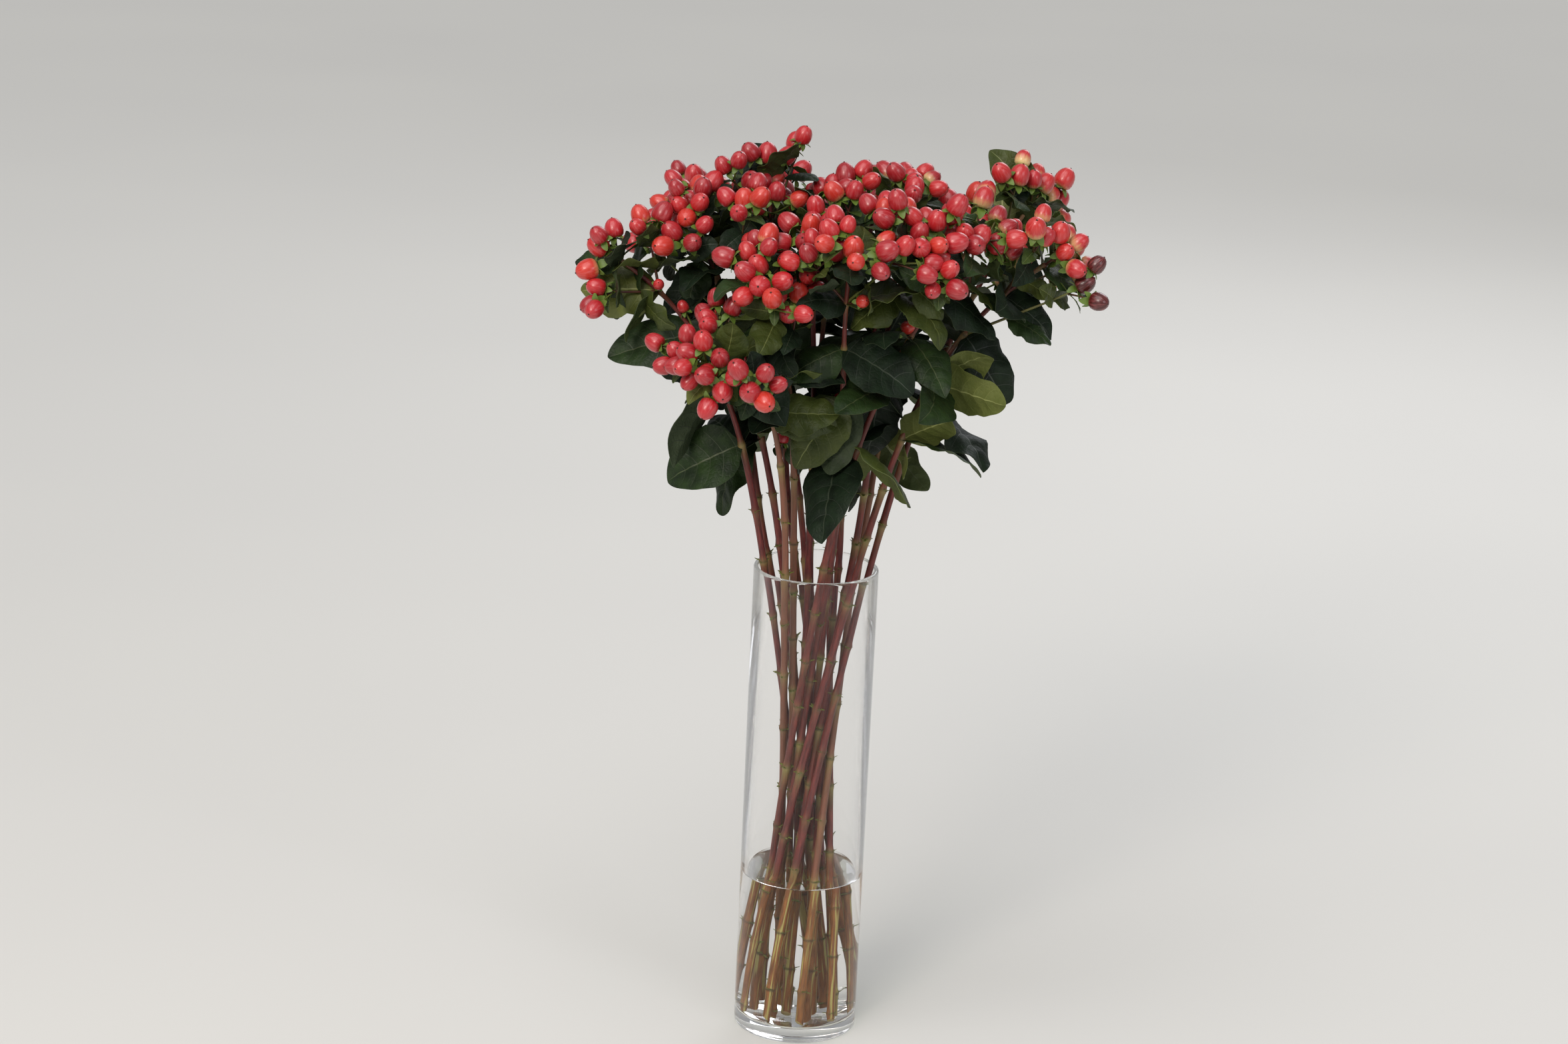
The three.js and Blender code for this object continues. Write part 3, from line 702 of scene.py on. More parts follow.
def dressed(
    piece: Object, finishes: Iterable[Finish], sharp_above: float, nodes: Iterable[str]
) -> Object:
    """Gives a piece its finishes and its shading, and makes it ride on the part.

    Args:
        piece: The piece.
        finishes: Its finishes, in the order of its faces' material numbers.
        sharp_above: The angle in degrees above which an edge stays sharp.
        nodes: The CAD nodes that it stands for.

    Returns:
        The piece.
    """
    for finish in finishes:
        piece.data.materials.append(finish.build())
    select_only(piece)
    bpy.ops.object.shade_smooth_by_angle(angle=radians(sharp_above))
    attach(piece, "root")
    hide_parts(*nodes)
    return piece


def straight_tube(sides: int, rings: int) -> Template:
    """Models a tube of unit radius with flat ends and one unit of height from ring to ring.

    Args:
        sides: Sides round the tube.
        rings: Rings along it, the two ends included.

    Returns:
        The template.
    """
    deselect_all()
    bpy.ops.mesh.primitive_circle_add(vertices=sides, radius=1, fill_type="NGON")
    piece = bpy.context.object
    begin_edit(piece)
    for _ in range(rings - 1):
        bpy.ops.mesh.extrude_region_move(TRANSFORM_OT_translate={"value": (0, 0, 1)})
    end_edit(skin=True)
    return Template.taken_from(piece)


def bent_tube(tube: Template, centres: Array, tangents: Array, guide: Array, radii: Array) -> Array:
    """Bends a straight tube along a line.

    Args:
        tube: The straight tube.
        centres: The middle of each ring.
        tangents: The direction of the line at each ring.
        guide: The direction that the turn round the tube counts from.
        radii: The radius at each of the tube's points.

    Returns:
        The copy's points.
    """
    ring = np.rint(tube.points[:, 2]).astype(int)
    along = tangents[ring]
    first = guide - along * (along @ guide)[:, None]
    first /= np.linalg.norm(first, axis=1)[:, None]
    out = first * tube.points[:, :1] + np.cross(along, first) * tube.points[:, 1:2]
    return centres[ring] + out * radii[:, None]


def unbroken(places: Array, sizes: Array, width: float) -> Array:
    """Moves the corners of faces that cross the seam of a map to one side of it.

    Args:
        places: The map, a row for each corner.
        sizes: How many corners each face has.
        width: The width of the map.

    Returns:
        The moved map.
    """
    face = np.repeat(np.arange(len(sizes)), sizes)
    most = np.full(len(sizes), -np.inf)
    np.maximum.at(most, face, places[:, 0])
    moved = places.copy()
    moved[:, 0] += width * (most[face] - places[:, 0] > width / 2)
    return moved


# Stem lines


@dataclass
class Curve:
    """A curve that knows its length. Its places are given in shares of its own parameter."""

    steps = 200

    def __post_init__(self) -> None:
        """Measures the curve by its chords."""
        self.shares = np.linspace(0, 1, self.steps + 1)
        points = np.array([self.point(share) for share in self.shares])
        self.ways = np.concatenate(([0], np.cumsum(np.linalg.norm(np.diff(points, axis=0), axis=1))))
        self.length = float(self.ways[-1])

    def point(self, share: float) -> Array:
        """The point at a share of the parameter."""
        raise NotImplementedError

    def tangent(self, share: float) -> Array:
        """The direction at a share of the parameter."""
        low, high = max(share - 1e-4, 0.0), min(share + 1e-4, 1.0)
        return unit(self.point(high) - self.point(low))

    def share_at(self, way: float) -> float:
        """The share of the parameter a way along the curve."""
        return float(np.interp(way, self.ways, self.shares))


@dataclass
class BunchLine(Curve):
    """The part of a stem in the vase, from its cut foot through the bunch's waist to the rim."""

    ring_share: float
    rim_angle: float
    foot_spread: float = 38.0
    rim_spread: float = 43.6
    twist: float = radians(120)
    waist_power: float = 1.3
    foot_height: float = 12.3
    rim_height: float = 400.0

    def point(self, share: float) -> Array:
        """The point at a share of the height.

        Args:
            share: The share.

        Returns:
            The point.
        """
        foot = polar(self.ring_share * self.foot_spread, self.rim_angle - self.twist, self.foot_height)
        rim = polar(self.ring_share * self.rim_spread, self.rim_angle, self.rim_height)
        found = foot + (rim - foot) * share**self.waist_power
        found[2] = foot[2] + (rim[2] - foot[2]) * share
        return found


@dataclass
class HeadLine(Curve):
    """The part of a stem from the rim to its crown node, a cubic curve with two handles."""

    start: Array
    rim_handle: Array
    head_handle: Array
    end: Array

    def point(self, share: float) -> Array:
        """The point at a share of the parameter."""
        low = self.start * (1 - share) ** 3 + self.rim_handle * 3 * (1 - share) ** 2 * share
        return low + self.head_handle * 3 * (1 - share) * share**2 + self.end * share**3


@dataclass
class StemNode:
    """A place on a stem: its point, the stem's direction and the guide for angles round it."""

    point: Array
    tangent: Array
    guide: Array

    def facing(self, angle: float) -> Array:
        """The direction square to the stem at an angle round it."""
        return swung(*square_to(self.tangent, self.guide), angle)


@dataclass(frozen=True)
class Head:
    """A head of berries: azimuth in degrees from +X, reach, height, the tip's lean from upright,
    the angle of the first leaf pair, and how often the end cyme and the side branches fork."""

    azimuth: float
    reach: float
    height: float
    lean: float
    turn: float
    levels: int
    side: tuple[int, ...]

    cyme_rise = 24.0

    def crown_node(self) -> tuple[Array, Array]:
        """The point where the end cyme starts, and the direction of the tip."""
        tip = polar(sin(radians(self.lean)), radians(self.azimuth), cos(radians(self.lean)))
        return polar(self.reach, radians(self.azimuth), self.height) - tip * self.cyme_rise, tip

    def pair_angle(self, level: int) -> float:
        """The angle of a leaf pair round the stem: each pair stands square to the next."""
        return radians(self.turn + 90 * level)


HEADS = (
    Head(187, 190, 664, 58, 20, 1, (1,)),
    Head(171, 118, 700, 20, 65, 2, (1, 1)),
    Head(143, 96, 702, 14, 10, 2, (1,)),
    Head(133, 82, 734, 6, 80, 1, (0,)),
    Head(241, 118, 672, 36, 40, 2, (0,)),
    Head(254, 64, 692, 16, 5, 2, (1,)),
    Head(237, 172, 592, 86, 55, 2, (1, 1)),
    Head(92, 46, 712, 5, 30, 1, (0,)),
    Head(278, 122, 696, 32, 75, 2, (1,)),
    Head(40, 80, 718, 12, 50, 2, (1, 1)),
    Head(308, 112, 704, 26, 15, 2, (1,)),
    Head(335, 132, 698, 34, 60, 2, (1,)),
    Head(21, 184, 716, 34, 35, 1, (1,)),
    Head(356, 190, 676, 54, 70, 2, (1, 0)),
    Head(142, 162, 680, 42, 25, 2, (1,)),
    Head(110, 150, 684, 36, 0, 2, (1,)),
    Head(76, 152, 684, 36, 45, 2, (1,)),
    Head(46, 160, 680, 40, 85, 2, (1,)),
)
ALL_HEADS, ALL_STEMS = (
    [f"{kind}_{n + 1:02d}" for n in range(len(HEADS))] for kind in ("head", "stem")
)


@dataclass
class StemLine:
    """A whole stem's line, from its foot to its crown node."""

    low: BunchLine
    high: HeadLine
    guide: Array

    # The handles' lengths at the rim and at the crown, in shares of the way between them
    rim_hold, crown_hold = 0.42, 0.36

    @classmethod
    def to_head(cls, head: Head, ring_share: float, rim_angle: float) -> "StemLine":
        """The line that leads from a place in the bunch to a head.

        Args:
            head: The head.
            ring_share: The ring's share of the bunch's spread.
            rim_angle: The stem's angle round the vase at the rim.

        Returns:
            The line.
        """
        low = BunchLine(ring_share, rim_angle)
        start = low.point(1)
        point, tip = head.crown_node()
        way = float(np.linalg.norm(start - point))
        rim_handle = start + low.tangent(1) * way * cls.rim_hold
        high = HeadLine(start, rim_handle, point - tip * way * cls.crown_hold, point)
        return cls(low, high, polar(1, radians(head.azimuth) + pi / 2, 0))

    @property
    def length(self) -> float:
        """The stem's length from foot to crown node."""
        return self.low.length + self.high.length

    def at(self, way: float) -> StemNode:
        """The place a way above the foot.

        Args:
            way: The way along the stem.

        Returns:
            The place.
        """
        curve, local = (self.low, way) if way < self.low.length else (self.high, way - self.low.length)
        share = curve.share_at(local)
        return StemNode(curve.point(share), curve.tangent(share), self.guide)

    def below_crown(self, below: float) -> StemNode:
        """The place a way below the crown node."""
        return self.at(self.length - below)


def deal_stems() -> list[StemLine]:
    """Deals the heads to the rings of the bunch, the far reaching ones to the outer ring.

    Returns:
        The stems' lines, in the order of the heads.
    """
    rings = ((9, 1.0), (6, 0.655), (3, 0.27))
    lead = radians(12)
    by_reach = sorted(range(len(HEADS)), key=lambda i: -HEADS[i].reach)
    lines: list[StemLine | None] = [None] * len(HEADS)
    dealt = 0
    for count, share in rings:
        members = sorted(by_reach[dealt : dealt + count], key=lambda i: HEADS[i].azimuth)
        dealt += count
        step = 2 * pi / count
        offset = sum(radians(HEADS[i].azimuth) - n * step for n, i in enumerate(members)) / count - lead
        for order, index in enumerate(members):
            lines[index] = StemLine.to_head(HEADS[index], share, offset + order * step)
    return lines


# Growth: the berries, stalks and leaves of the part's own heads, found again by the same rules


MIDDLE_PLACE, CYME_PLACE = 0, 1
BERRY_LENGTH, BERRY_WIDTH = 16.0, 13.8
LENGTH_GAIN, WIDTH_GAIN = 1.08, 1.15
LOWEST_LEAF_NODE = 500.0
# How far a stalk reaches into its berry, and an end cyme down into its stem
SEAT, CYME_ROOT = 1.2, 1.2


def leaf_place(owner: int, level: int, hand: int) -> Place:
    """A leaf's place."""
    return Place(owner, 300 + 2 * level + hand)


def branch_place(owner: int, level: int, hand: int) -> Place:
    """A side branch's place."""
    return Place(owner, 900 + 20 * level + (1 if hand > 0 else 2))


def stalk_way(place: Place) -> float:
    """The length of a berry's own stalk."""
    return place.near(11, 3, 4)


def green_for(draw: float, deep: float, dark: float, mid: float = 1.0) -> Tint:
    """The green for a draw, by the draws up to which it is deep, dark and not yet a young one."""
    return FRESH if draw > mid else DEEP if draw < deep else DARK if draw < dark else MID


# The fork on the thin low branch at the right, whose berries are drying
DRIED = branch_place(13, 2, 1)


@dataclass(frozen=True)
class LeafPair:
    """A leaf pair's way below the crown node, length, rise, sag and arch."""

    below: float
    length: float
    rise: float
    sag: float
    arch: float


LEAF_PAIRS = (
    LeafPair(4, 44, 34, 0, 24),
    LeafPair(42, 56, 24, 0.15, 34),
    LeafPair(86, 68, 10, 0.3, 38),
    LeafPair(134, 75, 6, 0.35, 38),
    LeafPair(184, 78, 10, 0.2, 34),
)


@dataclass(frozen=True)
class ShownLeaf:
    """A leaf that shows best from the front and lies as it does there: its head and place, its
    azimuth, rise and roll in degrees, its length, and its green."""

    head: int
    level: int
    hand: int
    azimuth: float
    rise: float
    roll: float
    length: float
    tint: Tint

    @property
    def place(self) -> Place:
        """The leaf's place."""
        return leaf_place(self.head - 1, self.level, self.hand)


SHOWN_LEAVES = (
    ShownLeaf(1, 4, 0, 192, -22, -62, 72, DARK),
    ShownLeaf(1, 1, 0, 189, 10, -50, 66, FRESH),
    ShownLeaf(1, 2, 0, 192, -10, -45, 72, DARK),
    ShownLeaf(2, 1, 0, 200, -35, -40, 54, DEEP),
    ShownLeaf(5, 3, 0, 250, -64, 0, 68, DARK),
    ShownLeaf(7, 2, 0, 350, 0, 55, 56, MID),
    ShownLeaf(9, 2, 0, 200, -20, -40, 54, DARK),
    ShownLeaf(9, 2, 1, 340, -20, 40, 66, DEEP),
    ShownLeaf(9, 3, 0, 200, -50, -50, 72, MID),
    ShownLeaf(9, 3, 1, 315, -70, 50, 62, DEEP),
    ShownLeaf(10, 4, 0, 0, -84, 0, 74, DEEP),
    ShownLeaf(11, 1, 0, 215, -18, -30, 48, MID),
    ShownLeaf(11, 3, 0, 300, -66, 0, 74, DEEP),
    ShownLeaf(13, 0, 0, 190, 58, -80, 58, MID),
    ShownLeaf(13, 1, 0, 340, -56, 55, 64, DEEP),
    ShownLeaf(14, 2, 0, 335, -44, 45, 70, DEEP),
    ShownLeaf(14, 3, 0, 348, 24, -62, 70, FRESH),
    ShownLeaf(14, 4, 0, 335, 34, -66, 58, FRESH),
    ShownLeaf(18, 4, 0, 0, -36, -60, 58, DARK),
)

# More such leaves, which the part's heads don't have
MORE_SHOWN_LEAVES = (
    ShownLeaf(13, 1, 50, 95, 80, 0, 70, FRESH),
    ShownLeaf(14, 3, 50, 352, 42, -58, 62, FRESH),
    ShownLeaf(7, 0, 50, 352, -28, 58, 50, MID),
    ShownLeaf(14, 1, 50, 350, -30, 50, 56, DEEP),
)

# The changes that a shoot or a leaf may try, as in the part's source
SHOOT_TRIES = ((0, 0), (6, 3), (-6, 4), (12, 6), (-10, 9), (16, -3))
LEAF_TRIES = (
    (0, 0, 1), (18, 8, 1), (-18, 8, 1), (8, 26, 1), (-8, -24, 1), (30, -12, 1), (-30, 18, 1), (0, 12, 0.8),
    (28, 34, 0.86), (-28, -30, 0.86), (45, 6, 0.8), (-45, 20, 0.8),
)


@dataclass
class Fruit:
    """A berry: where it sits, which way it points, its size, its place and its fork's."""

    base: Array
    direction: Array
    size: float
    place: Place
    fork: Place

    def __post_init__(self) -> None:
        """Works out the berry's radius, length and middle."""
        self.radius = BERRY_WIDTH * self.size * WIDTH_GAIN / 2
        self.length = BERRY_LENGTH * self.size * LENGTH_GAIN
        self.middle = self.base + self.direction * self.length * 0.46


@dataclass
class Twig:
    """A berry's stalk along two or three points, from its root to its seat."""

    points: list[Array]
    root_radius: float
    place: Place


@dataclass
class Fork:
    """A fork of a cyme: its point, the direction of the stalk and the side that it opens to."""

    point: Array
    direction: Array
    side: Array
    place: Place
    levels: int


@dataclass
class LeafPose:
    """A leaf's root, its direction, the way that it faces, its length, arch and green."""

    root: Array
    along: Array
    face: Array
    length: float
    arch: float
    place: Place
    tint: Tint

    def point(self, share: float) -> Array:
        """The point of the midrib at a share of the length.

        Args:
            share: The share.

        Returns:
            The point.
        """
        bend = self.arch * share
        forward = self.length * sin(bend) / self.arch
        return self.root + self.along * forward - self.face * (self.length * (1 - cos(bend)) / self.arch)

    @property
    def side(self) -> Array:
        """The direction across the blade."""
        return np.cross(self.along, self.face)

    @classmethod
    def on_stem(
        cls, node: StemNode, angle: float, rise: float, sag: float, roll: float, length: float,
        arch: float, place: Place, tint: Tint,
    ) -> "LeafPose":
        """The pose of a leaf that stands off a stem.

        Args:
            node: The node that it grows from.
            angle: Its angle round the stem.
            rise: Its angle above square to the stem.
            sag: What its own weight takes off its direction's height.
            roll: Its turn about its own length.
            length: Its length.
            arch: The angle that it bends by.
            place: Its place.
            tint: Its green.

        Returns:
            The pose.
        """
        along = swung(node.facing(angle), node.tangent, rise)
        along[2] -= sag
        along = unit(along)
        face = turned_about(square_to(along, node.tangent)[0], along, roll)
        return cls(node.point, along, face, length, arch, place, tint)


def leaf_seats(lines: list[StemLine]) -> Iterator[tuple[LeafPair, StemNode, float, Place]]:
    """The seats of the stems' leaf pairs, down to where each stem is bare.

    Args:
        lines: The stems' lines.

    Returns:
        The pair, the node, the angle round the stem and the place of each leaf.
    """
    for owner, line in enumerate(lines):
        for level, pair in enumerate(LEAF_PAIRS):
            node = line.below_crown(pair.below)
            for hand in (0, 1) if node.point[2] > LOWEST_LEAF_NODE else ():
                angle = HEADS[owner].pair_angle(level) + hand * pi
                yield pair, node, angle, leaf_place(owner, level, hand)


@dataclass
class Growth:
    """All that grows on the stems. A try of the rule counts where its tip is a corner of the
    head's own CAD node, so each berry and leaf is where the part has it."""

    lines: list[StemLine]
    fruits: list[Fruit] = field(default_factory=list)
    twigs: list[Twig] = field(default_factory=list)
    forks: list[Fork] = field(default_factory=list)
    leaves: list[LeafPose] = field(default_factory=list)
    near: float = 0.5
    shoot_radius: float = 0.8
    middle_radius: float = 0.9
    branch_radius: float = 1.3
    last_way: float = 6.0
    straighten: float = 0.35

    def __post_init__(self) -> None:
        """Reads the corners of the heads and grows the berries, then the leaves."""
        self.corners = [self.corner_tree(name) for name in ALL_HEADS]
        self.solid = self.skin_of_heads()
        self.grow_end_cymes()
        self.grow_branches()
        for shown in SHOWN_LEAVES:
            self.keep_leaf(self.shown_poses(shown))
        self.grow_leaves()

    @staticmethod
    def corner_tree(node: str) -> KDTree:
        """The corners of a CAD node, ready to be searched.

        Args:
            node: The node's name.

        Returns:
            The corners.
        """
        points = corners_of(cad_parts[node].data)
        tree = KDTree(len(points))
        for index, point in enumerate(points):
            tree.insert(point, index)
        tree.balance()
        return tree

    @staticmethod
    def skin_of_heads() -> BVHTree:
        """Joins the skins of all the heads of the part.

        Returns:
            The skin in metres, ready to be searched.
        """
        points, faces = [], []
        for name in ALL_HEADS:
            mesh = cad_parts[name].data
            faces += [tuple(i + len(points) for i in f.vertices) for f in mesh.polygons]
            points += [v.co.copy() for v in mesh.vertices]
        return BVHTree.FromPolygons(points, faces)

    def clearance(self, point: Array) -> float:
        """How far a point is from the skin of the part's heads, in millimetres."""
        return self.solid.find_nearest(Vector(point * MM))[3] / MM

    def has(self, owner: int, point: Array) -> bool:
        """Whether a head has a corner at a point."""
        return self.corners[owner].find(point * MM)[2] < self.near * MM

    def grow_stalk(self, points: list[Array], direction: Array, radius: float, place: Place) -> bool:
        """Grows a stalk with a berry, if the part has it.

        Args:
            points: The stalk's points. The last is the berry's base.
            direction: The berry's direction.
            radius: The stalk's radius at its root.
            place: Its place.

        Returns:
            Whether the part has it.
        """
        base, size = points[-1], place.near(0.98, 0.1, 5)
        if not self.has(place.owner, base + direction * BERRY_LENGTH * size):
            return False
        self.fruits.append(Fruit(base, direction, size, place, place))
        self.twigs.append(Twig([*points[:-1], base + direction * SEAT], radius, place))
        return True

    def grow_fork(self, fork: Fork) -> None:
        """Grows the pair of shoots at a fork, if it has any.

        Args:
            fork: The fork.
        """
        if fork.levels:
            self.forks.append(fork)
            for hand in (1, -1):
                any(self.grow_shoot(fork, hand, *change) for change in SHOOT_TRIES)

    def grow_shoot(self, fork: Fork, hand: int, more: float, gain: float) -> bool:
        """Grows one shoot of a fork with the smaller fork that it carries.

        Args:
            fork: The fork.
            hand: Its side, 1 or -1.
            more: Degrees by which it opens more.
            gain: Millimetres by which it is longer.

        Returns:
            Whether the part has it.
        """
        place = fork.place.numbered(4 * fork.place.number + (1 if hand > 0 else 2))
        across, other = square_to(fork.direction, fork.side)
        out = swung(fork.direction, across * hand, radians(place.near(43, 8, 1) + more))
        out = unit(out + other * place.near(0, 0.16, 2))
        way = place.near(14, 3, 3) if fork.levels > 1 else self.last_way
        end = fork.point + out * (way + stalk_way(place) + gain)
        if not self.grow_stalk([fork.point, end], out, self.shoot_radius, place):
            return False
        self.grow_fork(Fork(fork.point + out * way, out, other, place, fork.levels - 1))
        return True

    def grow_end_cymes(self) -> None:
        """Grows the cyme at each stem's crown node."""
        for owner, (head, line) in enumerate(zip(HEADS, self.lines)):
            point, tip = head.crown_node()
            side = StemNode(point, tip, line.guide).facing(head.pair_angle(1))
            start, place = point - tip * CYME_ROOT, Place(owner, MIDDLE_PLACE)
            self.grow_stalk([start, point + tip * stalk_way(place)], tip, self.middle_radius, place)
            self.grow_fork(Fork(start, tip, side, Place(owner, CYME_PLACE), head.levels))

    def grow_branches(self) -> None:
        """Grows the pairs of side branches of each head."""
        for owner, head in enumerate(HEADS):
            for level, levels in enumerate(head.side, 1):
                for hand in (1, -1):
                    any(self.grow_branch(owner, level, levels, hand, *t) for t in SHOOT_TRIES)

    def grow_branch(self, owner: int, level: int, levels: int, hand: int, more: float, gain: float) -> bool:
        """Grows one side branch with a small cyme.

        Args:
            owner: The head's number.
            level: The leaf pair that it rises from.
            levels: How often its cyme forks.
            hand: Its side, 1 or -1.
            more: Degrees by which it opens more.
            gain: Millimetres by which it is longer.

        Returns:
            Whether the part has it.
        """
        place, below = branch_place(owner, level, hand), LEAF_PAIRS[level].below
        node = self.lines[owner].below_crown(below)
        flat = node.facing(HEADS[owner].pair_angle(level) + place.angle(0, 12, 1)) * hand
        out = swung(node.tangent, flat, radians(place.near(34, 6, 2) + more))
        start = node.point + out * (place.near(below + 4, 6, 3) + gain)
        tip = unit(out + (node.tangent - out) * self.straighten)
        points = [node.point, start, start + tip * stalk_way(place)]
        if not self.grow_stalk(points, tip, self.branch_radius, place):
            return False
        fork = Fork(start, tip, flat, place, levels)
        self.grow_fork(fork)
        if levels == 0:
            self.forks.append(fork)
        return True

    def keep_leaf(self, tries: Iterable[LeafPose]) -> None:
        """Keeps the first of a leaf's tries that the part has."""
        self.leaves += [pose for pose in tries if self.has(pose.place.owner, pose.point(1))][:1]

    def shown_poses(self, shown: ShownLeaf) -> Iterator[LeafPose]:
        """The tries of a leaf that shows from the front.

        Args:
            shown: The leaf.

        Returns:
            Its poses.
        """
        place = shown.place
        node = self.lines[place.owner].below_crown(LEAF_PAIRS[shown.level].below)
        for turn, lift, size in LEAF_TRIES:
            rise = radians(shown.rise + lift)
            along = polar(cos(rise), radians(shown.azimuth + turn), sin(rise))
            face = turned_about(square_to(along, UP)[0], along, radians(shown.roll))
            arch = place.angle(26, 12, 5)
            yield LeafPose(node.point, along, face, shown.length * size, arch, place, shown.tint)

    def grow_leaves(self) -> None:
        """Grows the other leaves of each head."""
        shown = {leaf.place for leaf in SHOWN_LEAVES}
        for seat in leaf_seats(self.lines):
            if seat[-1] not in shown:
                self.keep_leaf(self.pair_poses(*seat))

    @staticmethod
    def pair_poses(pair: LeafPair, node: StemNode, angle: float, place: Place) -> Iterator[LeafPose]:
        """The tries of one leaf of a pair.

        Args:
            pair: The pair's own values.
            node: The node that it grows from.
            angle: Its angle round the stem.
            place: Its place.

        Returns:
            Its poses.
        """
        for turn, lift, size in LEAF_TRIES:
            yield LeafPose.on_stem(
                node, angle + radians(place.near(0, 22, 1) + turn),
                radians(place.near(pair.rise, 18, 2) + lift), place.near(pair.sag, pair.sag * 0.7, 6),
                place.angle(0, 32, 3), place.near(pair.length, pair.length * 0.1, 4) * size,
                place.angle(pair.arch, 18, 5), place, green_for(place.share(7), 0.44, 0.78, 0.95),
            )


# The sub-assemblies


def arc(
    x: float, z: float, radius: float, start: float, end: float, steps: int
) -> list[tuple[float, float]]:
    """Points on an arc of a profile, with its angles in degrees."""
    angles = np.radians(np.linspace(start, end, steps + 1))
    return [(x + radius * cos(a), z + radius * sin(a)) for a in angles]


@dataclass
class GlassCylinder:
    """The vase: a pressed glass cylinder with a thick base and a fire-polished rim."""

    radius: float = 51 * MM
    height: float = 400 * MM
    wall: float = 4 * MM
    floor: float = 12 * MM
    foot_round: float = 4 * MM
    floor_round: float = 6 * MM
    hollow: float = 1.2 * MM
    sides: int = 128

    def build(self) -> Object:
        """Turns the glass.

        Returns:
            The piece.
        """
        foot, lip = self.radius - self.foot_round, self.wall / 2
        bend, floor_top = self.radius - self.wall - self.floor_round, self.floor + self.floor_round
        profile = [
            (0, self.hollow), (foot * 0.55, self.hollow), (foot * 0.86, self.hollow * 0.55),
            (foot * 0.94, 0), *arc(foot, self.foot_round, self.foot_round, -90, 0, 6),
            *arc(self.radius - lip, self.height - lip, lip, 0, 180, 10),
            *arc(bend, floor_top, self.floor_round, 0, -90, 6), (0, self.floor),
        ]
        return dressed(turned_piece("glass_cylinder", profile, self.sides), [GLASS], 40, ["vase"])


@dataclass
class StillWater:
    """The water, which climbs a little where it meets the glass. It reaches into the glass by a
    hair, so that light passes from one to the other with no gap of air."""

    glass: GlassCylinder
    level: float = 135 * MM
    climb: float = 1.6 * MM
    overlap: float = 0.3 * MM

    # Ways in from the edge in millimetres, and the shares of the climb that the water has there
    edge = ((0.0, 1.0), (0.6, 0.55), (1.4, 0.22), (2.6, 0.05), (4.0, 0.0))

    def build(self) -> Object:
        """Turns the water.

        Returns:
            The piece.
        """
        radius = self.glass.radius - self.glass.wall + self.overlap
        bottom, curve = self.glass.floor - self.overlap, self.glass.floor_round
        top = [(radius - way * MM, self.level + share * self.climb) for way, share in self.edge]
        corner = arc(radius - curve, bottom + curve, curve, -90, 0, 6)
        profile = [(0, bottom), *corner, *top, (0, self.level)]
        piece = turned_piece("still_water", profile, self.glass.sides)
        return dressed(piece, [WATER], 50, ["water"])


def hill(way: Array, width: float) -> Array:
    """A smooth hill, 1 high in its middle, at ways from its middle."""
    return np.exp(-((way / width) ** 2))


